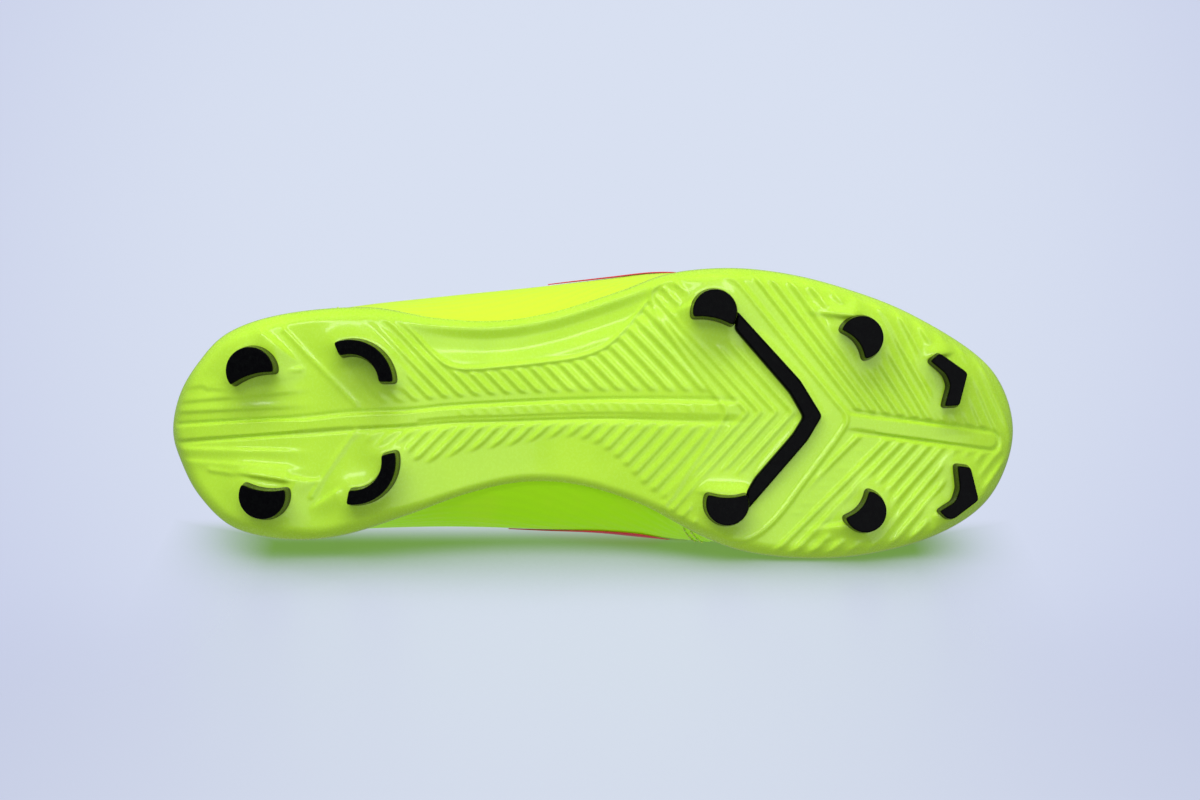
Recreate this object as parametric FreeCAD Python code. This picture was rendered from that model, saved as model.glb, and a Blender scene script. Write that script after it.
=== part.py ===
import FreeCAD, Part
import math
import os

# Right soccer cleat, upright on its studs: toe towards -Y, medial side towards +X, millimetres.
# The origin is below the middle of the shoe, on the plane of the stud tips.

V = FreeCAD.Vector

# ---- driving dimensions -------------------------------------------------------------------
PLATE_THICK = 4.5          # outsole plate, bottom face to top face
MOUND_DROP = 2.2           # how far a stud mound stands below the plate
MOUND_FLARE = 1.28         # mound outline at the plate, against the stud outline
STUD_TAPER = 0.84          # stud tip outline against its base outline
BAR_DROP = 3.6             # how far the chevron bar stands below the plate
WALL = 2.5                 # upper shell thickness
COUNTER_THICK = 1.4        # heel counter and toe puff
LINING_THICK = 4.8         # padded collar lining with its glue line
LINING_GAP = 0.3           # glue line between the padded collar and the panels
BOARD_THICK = 1.4          # insole board
SOCKLINER_THICK = 4.0
TONGUE_INSET = 8.0         # from the outer surface of the upper to the tongue's top
TONGUE_THICK = 3.6
EYESTAY_THICK = 1.2
EYESTAY_WIDTH = 13.0
EYELET_ROWS = 6
EYELET_OFFSET = 14.5       # eyelet centre from the middle of the throat
EYELET_RADIUS = 2.4
EYELET_FIRST_Y = -28.0
EYELET_PITCH = 12.0
LACE_RADIUS = 1.3
THROAT_HALF = 9.5          # half width of the throat slot at its top
THROAT_BASE_HALF = 7.0
THROAT_BASE_Y = -36.0
THROAT_TOP_Y = 60.0
TONGUE_BASE_Y = -44.0
TONGUE_TIP_Y = 58.0
TONGUE_HALF_BASE = 17.0
TONGUE_HALF_TIP = 22.0
TONGUE_CORNER = 9.0        # cut corners of the tongue's tip
TONGUE_CLEAR = 0.4         # gap between the tongue and the patch it is stitched to
LINING_FRONT_Y = 60.0      # the collar lining starts behind the tongue
PATCH_HALF = 14.0          # patch under the vamp that the tongue's base is stitched to
PATCH_LENGTH = 8.0
VAMP_JOINT_Y = -30.0       # seam between the vamp and the two quarters
HEEL_JOINT_Y = 92.0        # seam between the quarters and the heel panel
COLLAR_DEPTH = 22.0        # collar lining, from the topline down
TOE_PUFF_Y = -104.0
HALF_LENGTH = 142.4        # half length of the upper, without the plate's edge
ACCENT_THICK = 0.8

# Plate outline seen from below, from the heel round the lateral side to the toe and back.
PLATE_OUTLINE = [
    (6.5, 144.6), (-6.1, 142.7), (-17.5, 136.2), (-28.0, 124.8), (-33.8, 105.0), (-36.0, 77.0),
    (-32.4, 54.0), (-31.4, 34.0), (-34.4, 14.0), (-41.5, -8.9), (-47.5, -26.0), (-49.3, -46.0),
    (-47.3, -66.0), (-42.1, -86.4), (-34.2, -107.1), (-21.2, -129.5), (-9.5, -140.3),
    (6.0, -144.6), (21.5, -140.6), (33.5, -131.3), (42.6, -114.6), (48.0, -93.4),
    (49.4, -73.0), (47.2, -52.0), (41.5, -36.0), (31.0, -15.7), (24.6, 5.0), (23.6, 24.0),
    (27.5, 43.0), (35.0, 64.0), (41.8, 86.0), (43.0, 105.0), (39.6, 123.7), (29.5, 135.8),
    (17.5, 142.4),
]

# Height of the plate's bottom face along the shoe: heel lift, arch and toe spring.
PLATE_BOTTOM = [
    (150.0, 27.0), (144.6, 21.0), (137.1, 15.6), (124.3, 12.8), (100.7, 12.3), (75.0, 12.6),
    (48.0, 14.2), (18.0, 15.8), (-12.0, 14.2), (-42.0, 11.4), (-70.0, 10.6), (-92.1, 11.4),
    (-111.4, 13.6), (-126.4, 16.6), (-137.1, 19.8), (-144.6, 23.2), (-150.0, 26.5),
]

# Upper, station by station: y, lateral x, medial x, middle x, height of the ridge.
UPPER_STATIONS = [
    (142.5, -8.0, 18.0, 6.0, 132.0),
    (135.0, -19.0, 29.5, 5.5, 138.0),
    (118.0, -29.5, 38.5, 5.0, 140.0),
    (95.0, -35.0, 41.5, 4.0, 140.0),
    (70.0, -37.0, 40.0, 3.0, 130.0),
    (45.0, -38.5, 38.5, 2.0, 110.0),
    (15.0, -42.5, 38.0, 1.0, 90.0),
    (-15.0, -46.0, 39.5, 1.0, 75.0),
    (-45.0, -48.0, 45.0, 2.0, 64.0),
    (-75.0, -45.0, 48.0, 4.0, 57.0),
    (-100.0, -36.5, 45.5, 6.0, 53.0),
    (-122.1, -25.5, 38.0, 7.0, 49.0),
    (-135.0, -15.5, 28.5, 7.0, 44.0),
    (-142.5, -4.0, 17.0, 6.5, 37.5),
]
SECTION_POWER = 2.5        # squareness of the upper's cross-section
BOTTOM_WIDTH = 0.92        # upper's width at the plate, against its widest
RIDGE_CAP = 95.0           # ridge height that the widest level is measured against
WIDEST_LEVEL = 0.3         # widest level, as a share of the height above the plate
SECTION_ANGLES = (0.0, 20.0, 40.0, 60.0, 76.0)

# Collar topline in side view.
TOPLINE = [
    (22.0, 112.0), (34.0, 101.0), (44.0, 88.5), (58.0, 76.0), (74.0, 68.0), (90.0, 65.5),
    (106.0, 69.5), (121.0, 79.5), (131.0, 85.6), (138.0, 87.6), (146.0, 87.8),
]
FAR = 200.0


# ---- curves and helpers --------------------------------------------------------------------
def spline(points, closed=False):
    curve = Part.BSplineCurve()
    curve.interpolate([V(*p) for p in points], PeriodicFlag=closed)
    return curve


def interpolate(table, y, column):
    """Straight-line value of a table's column at y."""
    rows = sorted(table)
    y = min(max(y, rows[0][0]), rows[-1][0])
    for low, high in zip(rows, rows[1:]):
        if y <= high[0]:
            share = (y - low[0]) / (high[0] - low[0])
            return low[column] + share * (high[column] - low[column])
    return rows[-1][column]


def side_profile(points, z_end):
    """Solid under (z_end low) or over (z_end high) a side-view curve, across the whole width."""
    edge = spline([(-FAR, y, z) for y, z in points]).toShape()
    first, last = points[0], points[-1]
    rim = Part.makePolygon([
        V(-FAR, last[0], last[1]), V(-FAR, last[0], z_end),
        V(-FAR, first[0], z_end), V(-FAR, first[0], first[1]),
    ])
    face = Part.Face(Part.Wire([edge] + rim.Edges))
    return face.extrude(V(2 * FAR, 0, 0))


def raised(points, rise):
    return [(y, z + rise) for y, z in points]


def prism(points, z_low, z_high, closed_spline=False):
    """Upright prism over an outline in plan."""
    if closed_spline:
        wire = Part.Wire([spline([(x, y, z_low) for x, y in points], closed=True).toShape()])
    else:
        ring = [V(x, y, z_low) for x, y in points]
        wire = Part.makePolygon(ring + ring[:1])
    return Part.Face(wire).extrude(V(0, 0, z_high - z_low))


def box(x_range, y_range, z_range):
    size = [high - low for low, high in (x_range, y_range, z_range)]
    return Part.makeBox(*size, V(x_range[0], y_range[0], z_range[0]))


def plate_top(y):
    return interpolate(PLATE_BOTTOM, y, 1) + PLATE_THICK


def single(shape):
    """The one solid in a boolean's result."""
    solids = sorted(shape.Solids, key=lambda s: s.Volume)
    return solids[-1]


# ---- the upper as a family of nested lofts ---------------------------------------------------
def station(y, inset):
    """Extents of the upper's section at y, taken in from its outer surface by inset."""
    lateral = interpolate(UPPER_STATIONS, y, 1) + inset
    medial = interpolate(UPPER_STATIONS, y, 2) - inset
    middle = interpolate(UPPER_STATIONS, y, 3)
    ridge = interpolate(UPPER_STATIONS, y, 4) - inset
    floor = plate_top(y)
    widest = floor + WIDEST_LEVEL * (min(ridge, RIDGE_CAP) - floor)
    return lateral, medial, middle, ridge, widest, floor


def surface_point(y, offset, inset=0.0):
    """Point on the upper at a distance offset from the middle, positive to the medial side."""
    lateral, medial, middle, ridge, widest, floor = station(y, inset)
    half = medial - middle if offset > 0 else middle - lateral
    height = (1 - (abs(offset) / half) ** SECTION_POWER) ** (1 / SECTION_POWER)
    return V(middle + offset, y, widest + (ridge - widest) * height)


def section_wire(y, inset):
    lateral, medial, middle, ridge, widest, floor = station(y, inset)
    shrink = (HALF_LENGTH - inset) / HALF_LENGTH
    flat_y = y * shrink
    foot = floor - 8.0 - inset
    side = [(BOTTOM_WIDTH - 0.03, foot), (BOTTOM_WIDTH, floor), (0.985, (floor + widest) / 2)]
    for angle in SECTION_ANGLES:
        bend = math.radians(angle)
        reach = math.cos(bend) ** (2 / SECTION_POWER)
        rise = math.sin(bend) ** (2 / SECTION_POWER)
        side.append((reach, widest + (ridge - widest) * rise))
    left = [(middle - w * (middle - lateral), flat_y, z) for w, z in side]
    right = [(middle + w * (medial - middle), flat_y, z) for w, z in side]
    points = left + [(middle, flat_y, ridge)] + right[::-1]
    arch = spline(points).toShape()
    base = Part.makeLine(V(*points[-1]), V(*points[0]))
    return Part.Wire([arch, base])


def upper_loft(inset, low, high):
    stations = [row[0] for row in UPPER_STATIONS if low <= row[0] <= high]
    return Part.makeLoft([section_wire(y, inset) for y in stations], True)


UNDER_PLATE_TOP = side_profile(raised(PLATE_BOTTOM, PLATE_THICK), -60.0)
OVER_TOPLINE = side_profile(TOPLINE, FAR)
WHOLE_SHOE = (-FAR, FAR)
REAR_HALF = (15.0, FAR)
INSTEP = (-100.0, 118.0)


def skin(outer_inset, thickness, reach=WHOLE_SHOE):
    """Layer of the upper between two insets, standing on the plate, over the stations in reach."""
    outer = upper_loft(outer_inset, *reach)
    inner = upper_loft(outer_inset + thickness, *reach)
    return outer.cut(inner).cut(UNDER_PLATE_TOP)


def throat_outline(extra):
    """Throat slot in plan, widened by extra on each side."""
    middle_base = interpolate(UPPER_STATIONS, THROAT_BASE_Y, 3)
    middle_top = interpolate(UPPER_STATIONS, THROAT_TOP_Y, 3)
    base_half = THROAT_BASE_HALF + extra
    top_half = THROAT_HALF + extra
    tip = V(middle_base, THROAT_BASE_Y - base_half, 0)
    base_left = V(middle_base - base_half, THROAT_BASE_Y, 0)
    base_right = V(middle_base + base_half, THROAT_BASE_Y, 0)
    top_left = V(middle_top - top_half, THROAT_TOP_Y, 0)
    top_right = V(middle_top + top_half, THROAT_TOP_Y, 0)
    edges = [
        Part.Arc(base_left, tip, base_right).toShape(),
        Part.makeLine(base_right, top_right),
        Part.makeLine(top_right, top_left),
        Part.makeLine(top_left, base_left),
    ]
    return Part.Face(Part.Wire(edges)).extrude(V(0, 0, FAR))


# ---- lace and its eyelets --------------------------------------------------------------------
def eyelet_rows():
    return [EYELET_FIRST_Y + EYELET_PITCH * row for row in range(EYELET_ROWS)]


def eyelet(y, side):
    """Centre of an eyelet on the upper's outer surface and the outward normal there."""
    offset = side * EYELET_OFFSET
    centre = surface_point(y, offset)
    across = surface_point(y, offset + 0.5) - surface_point(y, offset - 0.5)
    along = surface_point(y + 0.5, offset) - surface_point(y - 0.5, offset)
    normal = across.cross(along)
    normal.normalize()
    return centre, normal


def eyelet_cutters():
    cutters = []
    for y in eyelet_rows():
        for side in (-1, 1):
            centre, normal = eyelet(y, side)
            cutters.append(Part.makeCylinder(EYELET_RADIUS, 16.0, centre - normal * 8.0, normal))
    return cutters


def lace_route():
    """Ladder lacing: up through one eyelet, across the throat, down, then on to the next row."""
    over = EYESTAY_THICK + LACE_RADIUS + 0.5
    under = WALL + LACE_RADIUS + 0.9
    route = []
    for row, y in enumerate(eyelet_rows()):
        first = -1 if row % 2 == 0 else 1
        for side in (first, -first):
            centre, normal = eyelet(y, side)
            inside = centre - normal * under
            outside = centre + normal * over
            shoulder = surface_point(y, side * (THROAT_HALF - 1.0)) + V(0, 0, over + 0.3)
            leg = [inside, outside, shoulder]
            route += leg if side == first else leg[::-1]
    return route


def rounded_tube(route, radius, share=0.45):
    """Tube along straight runs joined by tangent arcs."""
    edges = []
    start = route[0]
    for before, corner, after in zip(route, route[1:], route[2:]):
        back = before - corner
        ahead = after - corner
        reach = share * min(back.Length, ahead.Length)
        back.normalize()
        ahead.normalize()
        entry = corner + back * reach
        leave = corner + ahead * reach
        turn = math.pi - back.getAngle(ahead)
        bend = reach / math.tan(turn / 2)
        inward = back + ahead
        inward.normalize()
        hub = corner + inward * math.hypot(bend, reach)
        edges.append(Part.makeLine(start, entry))
        edges.append(Part.Arc(entry, hub - inward * bend, leave).toShape())
        start = leave
    edges.append(Part.makeLine(start, route[-1]))
    path = Part.Wire(edges)
    ring = Part.Wire([Part.makeCircle(radius, route[0], route[1] - route[0])])
    tube = path.makePipeShell([ring], True, False, 2)
    expected = math.pi * radius ** 2 * path.Length
    print("lace length %.1f mm, volume against section times length %.3f"
          % (path.Length, tube.Volume / expected))
    return tube


# ---- studs -----------------------------------------------------------------------------------
def bitten_disc(centre, radius, bite_angle, chord, sag):
    """Round stud outline with one side bitten away; the bite faces bite_angle in plan.

    chord is the distance from the centre to the bite's two corners, sag the bite's depth.
    """
    half = math.acos(chord / radius)
    centre_v = V(centre[0], centre[1], 0)

    def at(angle, distance):
        return centre_v + V(math.cos(angle), math.sin(angle), 0) * distance

    facing = math.radians(bite_angle)
    first = at(facing + half, radius)
    last = at(facing - half, radius)
    outer = Part.Arc(first, at(facing + math.pi, radius), last).toShape()
    bite = Part.Arc(last, at(facing, chord - sag), first).toShape()
    return Part.Wire([outer, bite])


def arc_bar(centre, outer, inner, start, end):
    """Curved bar outline between two radii; angles in plan, degrees."""
    def at(angle, distance):
        turn = math.radians(angle)
        return V(centre[0] + math.cos(turn) * distance, centre[1] + math.sin(turn) * distance, 0)

    middle = (start + end) / 2
    return Part.Wire([
        Part.Arc(at(start, outer), at(middle, outer), at(end, outer)).toShape(),
        Part.makeLine(at(end, outer), at(end, inner)),
        Part.Arc(at(end, inner), at(middle, inner), at(start, inner)).toShape(),
        Part.makeLine(at(start, inner), at(start, outer)),
    ])


def ring(points):
    corners = [V(x, y, 0) for x, y in points]
    return Part.makePolygon(corners + corners[:1])


def scaled(wire, factor, z):
    """Outline scaled about its own middle and moved to height z."""
    middle = wire.BoundBox.Center
    copy = wire.copy()
    copy.translate(V(-middle.x, -middle.y, 0))
    copy.scale(factor)
    copy.translate(V(middle.x, middle.y, z))
    return copy


def frustum(wire, low_factor, z_low, high_factor, z_high):
    return Part.makeLoft([scaled(wire, low_factor, z_low), scaled(wire, high_factor, z_high)],
                         True, True)


# name: outline in plan, height of the tip above the ground
STUDS = {
    "stud_heel_rear_lateral": (bitten_disc((-14.2, 114.9), 8.2, -17.0, 2.9, 1.6), 0.0),
    "stud_heel_rear_medial": (bitten_disc((27.6, 110.7), 8.1, 187.0, 3.2, 1.6), 0.0),
    "stud_heel_front_lateral": (arc_bar((-10.1, 81.4), 14.8, 9.3, 157.0, 270.0), 0.0),
    "stud_heel_front_medial": (arc_bar((16.2, 80.4), 14.8, 9.3, -104.0, 10.0), 0.0),
    "stud_ball_lateral": (bitten_disc((-34.0, -40.6), 7.7, 12.0, 3.5, 1.6), 0.0),
    "stud_ball_medial": (bitten_disc((30.3, -44.8), 7.5, 180.0, 3.3, 1.6), 0.0),
    "stud_mid_lateral": (bitten_disc((-25.3, -89.8), 7.4, 51.0, 3.8, 3.6), 0.8),
    "stud_mid_medial": (bitten_disc((32.9, -91.0), 7.2, 131.0, 3.8, 3.6), 0.8),
    "stud_toe_lateral": (ring([
        (-17.5, -112.7), (-20.6, -116.4), (-13.6, -126.3), (-2.2, -123.4), (-1.9, -117.6),
        (-9.4, -119.7), (-13.0, -118.2),
    ]), 6.0),
    "stud_toe_medial": (ring([
        (17.3, -122.0), (18.0, -127.2), (29.4, -130.0), (36.0, -121.4), (35.9, -118.8),
        (33.0, -115.8), (29.7, -121.4), (25.5, -122.9),
    ]), 6.0),
}

CHEVRON_OUTLINE = [
    (-34.7, -48.4), (-11.1, -69.9), (1.0, -77.3), (9.4, -72.3), (32.7, -52.1),
    (27.0, -51.1), (21.9, -54.1), (7.1, -66.9), (1.3, -70.5), (-6.7, -65.9), (-28.3, -47.3),
]


# ---- nodes -------------------------------------------------------------------------------------
NODES = {}


def build_sole():
    outline = prism(PLATE_OUTLINE, -10.0, 60.0, closed_spline=True)
    under_bottom = side_profile(PLATE_BOTTOM, -60.0)
    plate = outline.common(UNDER_PLATE_TOP).cut(under_bottom)
    for name, (outline_wire, tip) in STUDS.items():
        middle_y = outline_wire.BoundBox.Center.y
        seat = interpolate(PLATE_BOTTOM, middle_y, 1)
        mound = frustum(outline_wire, 1.08, seat - MOUND_DROP, MOUND_FLARE, seat + 1.5)
        plate = plate.fuse(mound.cut(box((-FAR, FAR), (-FAR, FAR), (seat + 1.5, FAR))))
        NODES[name] = frustum(outline_wire, STUD_TAPER, tip, 1.0, seat - MOUND_DROP)
    bar_seat = interpolate(PLATE_BOTTOM, -60.0, 1)
    bar = prism(CHEVRON_OUTLINE, bar_seat - BAR_DROP, bar_seat + 2.0)
    plate = single(plate.removeSplitter())
    bar = bar.cut(plate)
    for name in STUDS:
        NODES[name] = single(NODES[name].cut(plate))
    for name in ("stud_ball_lateral", "stud_ball_medial"):
        bar = bar.cut(NODES[name])
    NODES["outsole_plate"] = plate
    NODES["chevron_bar"] = single(bar)


def build_upper():
    shell = skin(0.0, WALL).cut(OVER_TOPLINE).cut(throat_outline(0.0))
    front = box((-FAR, FAR), (-FAR, VAMP_JOINT_Y), (-FAR, FAR))
    middle = box((-FAR, FAR), (VAMP_JOINT_Y, HEEL_JOINT_Y), (-FAR, FAR))
    rear = box((-FAR, FAR), (HEEL_JOINT_Y, FAR), (-FAR, FAR))
    quarters = shell.common(middle)
    for cutter in eyelet_cutters():
        quarters = quarters.cut(cutter)
    NODES["vamp"] = single(shell.common(front))
    NODES["heel_panel"] = single(shell.common(rear))
    NODES["lateral_quarter"] = single(quarters.common(box((-FAR, 0), (-FAR, FAR), (0, FAR))))
    NODES["medial_quarter"] = single(quarters.common(box((0, FAR), (-FAR, FAR), (0, FAR))))


def build_eyestays():
    layer = skin(-EYESTAY_THICK, EYESTAY_THICK).cut(OVER_TOPLINE)
    span = (VAMP_JOINT_Y + 0.5, 33.0)
    strip = throat_outline(EYESTAY_WIDTH).cut(throat_outline(0.6))
    layer = layer.common(strip).common(box((-FAR, FAR), span, (40.0, FAR)))
    for cutter in eyelet_cutters():
        layer = layer.cut(cutter)
    NODES["lateral_eyestay"] = single(layer.common(box((-FAR, 0), (-FAR, FAR), (0, FAR))))
    NODES["medial_eyestay"] = single(layer.common(box((0, FAR), (-FAR, FAR), (0, FAR))))
    NODES["lace"] = rounded_tube(lace_route(), LACE_RADIUS)


def build_inside():
    collar_floor = side_profile(raised(TOPLINE, -COLLAR_DEPTH), -60.0)
    counter_top = side_profile(raised(TOPLINE, -COLLAR_DEPTH - 1.0), FAR)
    lining = skin(WALL + LINING_GAP, LINING_THICK - LINING_GAP, REAR_HALF)
    lining = lining.cut(OVER_TOPLINE).cut(collar_floor)
    lining = lining.common(box((-FAR, FAR), (LINING_FRONT_Y, FAR), (0, FAR)))
    NODES["collar_lining"] = single(lining)
    counter = skin(WALL, COUNTER_THICK).cut(counter_top)
    NODES["heel_counter"] = single(counter.common(box((-FAR, FAR), (84.0, FAR), (0, FAR))))
    puff = skin(WALL, COUNTER_THICK)
    puff = puff.common(box((-FAR, FAR), (-FAR, TOE_PUFF_Y), (0, FAR)))
    NODES["toe_puff"] = single(puff)
    cavity = upper_loft(WALL, *WHOLE_SHOE).cut(UNDER_PLATE_TOP)
    cavity = cavity.cut(NODES["heel_counter"]).cut(NODES["toe_puff"])
    board_top = side_profile(raised(PLATE_BOTTOM, PLATE_THICK + BOARD_THICK), -60.0)
    foam_top = side_profile(raised(PLATE_BOTTOM, PLATE_THICK + BOARD_THICK + SOCKLINER_THICK), -60.0)
    NODES["insole_board"] = single(cavity.common(board_top))
    clear = upper_loft(WALL + COUNTER_THICK + 0.3, *WHOLE_SHOE)
    NODES["sockliner"] = single(clear.common(foam_top).cut(board_top))


def build_tongue():
    layer = skin(TONGUE_INSET, TONGUE_THICK, INSTEP)
    base_x = interpolate(UPPER_STATIONS, TONGUE_BASE_Y, 3)
    tip_x = interpolate(UPPER_STATIONS, TONGUE_TIP_Y, 3)
    shoulder_y = TONGUE_TIP_Y - TONGUE_CORNER
    tip_half = TONGUE_HALF_TIP - TONGUE_CORNER
    plan = prism([
        (base_x - TONGUE_HALF_BASE, TONGUE_BASE_Y), (base_x + TONGUE_HALF_BASE, TONGUE_BASE_Y),
        (tip_x + TONGUE_HALF_TIP, shoulder_y), (tip_x + tip_half, TONGUE_TIP_Y),
        (tip_x - tip_half, TONGUE_TIP_Y), (tip_x - TONGUE_HALF_TIP, shoulder_y),
    ], 44.0, FAR)
    NODES["tongue"] = single(layer.common(plan))
    patch = skin(WALL, TONGUE_INSET - TONGUE_CLEAR - WALL, INSTEP)
    x_span = (base_x - PATCH_HALF, base_x + PATCH_HALF)
    y_span = (TONGUE_BASE_Y - PATCH_LENGTH / 2, TONGUE_BASE_Y + PATCH_LENGTH / 2)
    NODES["tongue_anchor_patch"] = single(patch.common(box(x_span, y_span, (40.0, FAR))))


def build_accents():
    """Slim red blades bonded at the widest level of each quarter, in side view."""
    layer = skin(-ACCENT_THICK, ACCENT_THICK)
    outline = [(-24.0, 32.0), (20.0, 34.0), (30.0, 45.0), (-16.0, 41.0)]
    corners = [V(-FAR, y, z) for y, z in outline]
    blade = Part.Face(Part.makePolygon(corners + corners[:1])).extrude(V(2 * FAR, 0, 0))
    layer = layer.common(blade)
    NODES["lateral_accent"] = single(layer.common(box((-FAR, 0), (-FAR, FAR), (0, FAR))))
    NODES["medial_accent"] = single(layer.common(box((0, FAR), (-FAR, FAR), (0, FAR))))


build_sole()
build_upper()
build_eyestays()
build_inside()
build_tongue()
build_accents()

os.makedirs("parts", exist_ok=True)
whole = FreeCAD.BoundBox()
for name, shape in NODES.items():
    whole.add(shape.BoundBox)
    bounds = shape.BoundBox
    print("%-26s valid %s solids %d volume %8.0f  x %.1f %.1f y %.1f %.1f z %.1f %.1f" % (
        name, shape.isValid(), len(shape.Solids), shape.Volume, bounds.XMin, bounds.XMax,
        bounds.YMin, bounds.YMax, bounds.ZMin, bounds.ZMax))
    shape.exportStep("parts/%s.step" % name)
print("whole x %.2f %.2f  y %.2f %.2f  z %.2f %.2f" % (
    whole.XMin, whole.XMax, whole.YMin, whole.YMax, whole.ZMin, whole.ZMax))
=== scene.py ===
import math

import bmesh
import bpy
import numpy as np
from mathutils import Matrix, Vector
from mathutils.geometry import tessellate_polygon


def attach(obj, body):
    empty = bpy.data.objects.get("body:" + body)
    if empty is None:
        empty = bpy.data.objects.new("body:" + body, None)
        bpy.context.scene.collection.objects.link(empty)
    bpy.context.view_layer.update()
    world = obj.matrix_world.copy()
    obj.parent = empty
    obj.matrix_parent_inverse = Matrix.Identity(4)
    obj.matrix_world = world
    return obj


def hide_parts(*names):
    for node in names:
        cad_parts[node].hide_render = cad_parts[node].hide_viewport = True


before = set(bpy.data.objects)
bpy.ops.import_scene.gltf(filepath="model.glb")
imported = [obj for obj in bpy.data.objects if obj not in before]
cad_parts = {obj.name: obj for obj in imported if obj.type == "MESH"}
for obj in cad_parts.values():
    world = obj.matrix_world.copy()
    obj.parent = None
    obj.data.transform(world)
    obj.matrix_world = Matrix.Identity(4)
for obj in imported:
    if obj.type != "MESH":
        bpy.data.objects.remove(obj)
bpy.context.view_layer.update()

# Shapes are worked out in millimetres and scaled once, in new_mesh. Plan coordinates of the
# sole are a, towards the toe (-Y), and b, towards the lateral side (-X).
MM = 0.001
SHOE = "shoe"
FLAP = "tongue_flap"


# ---- small maths ---------------------------------------------------------------------
def smooth(low, high, x):
    t = np.clip((x - low) / (high - low), 0.0, 1.0)
    return t * t * (3 - 2 * t)


def ridge(distance, width):
    """Height of a soft ridge, 1 on its line and near 0 at twice its width."""
    return np.exp(-(distance / width) ** 2)


def unit(vectors):
    """Vectors made one long; the last axis runs over their parts."""
    return vectors / (np.linalg.norm(vectors, axis=-1, keepdims=True) + 1e-12)


def curve(points):
    """Smooth function through (x, y) points, level beyond its ends."""
    xs, ys = (np.array(c, float) for c in zip(*sorted(points)))
    slope = np.diff(ys) / np.diff(xs)
    tangent = np.zeros(len(xs))
    tangent[0], tangent[-1] = slope[0], slope[-1]
    gap = np.diff(xs)
    tangent[1:-1] = (slope[:-1] * gap[1:] + slope[1:] * gap[:-1]) / (gap[1:] + gap[:-1])

    def value(x):
        x = np.clip(np.asarray(x, float), xs[0], xs[-1])
        i = np.clip(np.searchsorted(xs, x) - 1, 0, len(xs) - 2)
        h = xs[i + 1] - xs[i]
        t = (x - xs[i]) / h
        return ((2 * t**3 - 3 * t**2 + 1) * ys[i] + (t**3 - 2 * t**2 + t) * h * tangent[i]
                + (3 * t**2 - 2 * t**3) * ys[i + 1] + (t**3 - t**2) * h * tangent[i + 1])

    return value


def loop_curve(points, per_span=14, closed=True):
    """Catmull-Rom line through plan points, as an array of points."""
    p = np.array(points, float)
    if closed:
        p = np.vstack([p[-1], p, p[:2]])
    else:
        p = np.vstack([2 * p[0] - p[1], p, 2 * p[-1] - p[-2]])
    out = []
    for i in range(1, len(p) - 2):
        t = np.linspace(0, 1, per_span, endpoint=False)[:, None]
        p0, p1, p2, p3 = p[i - 1], p[i], p[i + 1], p[i + 2]
        out.append(0.5 * (2 * p1 + (p2 - p0) * t + (2 * p0 - 5 * p1 + 4 * p2 - p3) * t**2
                          + (3 * p1 - p0 - 3 * p2 + p3) * t**3))
    if not closed:
        out.append(p[-2:-1])
    return np.vstack(out)


def line_distance(a, b, line, closed=False):
    """Distance of plan points from a polyline."""
    ends = list(zip(line, np.roll(line, -1, 0))) if closed else list(zip(line[:-1], line[1:]))
    best = np.full(np.shape(a), 1e9)
    for (a0, b0), (a1, b1) in ends:
        da, db = a1 - a0, b1 - b0
        length = da * da + db * db + 1e-12
        t = np.clip(((a - a0) * da + (b - b0) * db) / length, 0, 1)
        best = np.minimum(best, np.hypot(a - a0 - t * da, b - b0 - t * db))
    return best


def inside(a, b, ring):
    """True where plan points lie inside a closed polyline."""
    hit = np.zeros(np.shape(a), bool)
    for (a0, b0), (a1, b1) in zip(ring, np.roll(ring, -1, 0)):
        cross = (b0 > b) != (b1 > b)
        at = a0 + (b - b0) * (a1 - a0) / (b1 - b0 + 1e-12)
        hit ^= cross & (a < at)
    return hit


def signed(a, b, ring):
    """Distance outside a closed outline, negative inside."""
    d = line_distance(a, b, ring, closed=True)
    return np.where(inside(a, b, ring), -d, d)


# ---- meshes --------------------------------------------------------------------------
def new_mesh(name, verts, faces, material, slot, body=SHOE):
    mesh = bpy.data.meshes.new(name)
    mesh.from_pydata([tuple(v) for v in np.asarray(verts, float) * MM], [], faces)
    mesh.validate()
    mesh.update()
    mesh.polygons.foreach_set("use_smooth", [True] * len(mesh.polygons))
    obj = bpy.data.objects.new(name, mesh)
    bpy.context.scene.collection.objects.link(obj)
    obj.data.materials.append(material)
    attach(obj, body)
    return obj


def grid_faces(rows, columns, wrap_rows=False, wrap_columns=False, flip=False):
    """Quads of a grid whose vertex number is row * columns + column."""
    faces = []
    for i in range(rows if wrap_rows else rows - 1):
        for j in range(columns if wrap_columns else columns - 1):
            n, m = (i + 1) % rows, (j + 1) % columns
            quad = (i * columns + j, i * columns + m, n * columns + m, n * columns + j)
            faces.append(quad[::-1] if flip else quad)
    return faces


def weld(obj, distance=0.02):
    bm = bmesh.new()
    bm.from_mesh(obj.data)
    bmesh.ops.remove_doubles(bm, verts=bm.verts, dist=distance * MM)
    bmesh.ops.dissolve_degenerate(bm, edges=bm.edges, dist=0.002 * MM)
    bm.to_mesh(obj.data)
    bm.free()


def face_out(obj):
    """Split faces with many corners into triangles and turn every face outwards."""
    bm = bmesh.new()
    bm.from_mesh(obj.data)
    many = [face for face in bm.faces if len(face.verts) > 4]
    bmesh.ops.triangulate(bm, faces=many)
    bmesh.ops.recalc_face_normals(bm, faces=bm.faces)
    bm.to_mesh(obj.data)
    bm.free()


def apply_modifiers(obj):
    graph = bpy.context.evaluated_depsgraph_get()
    mesh = bpy.data.meshes.new_from_object(obj.evaluated_get(graph))
    obj.modifiers.clear()
    obj.data = mesh


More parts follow.
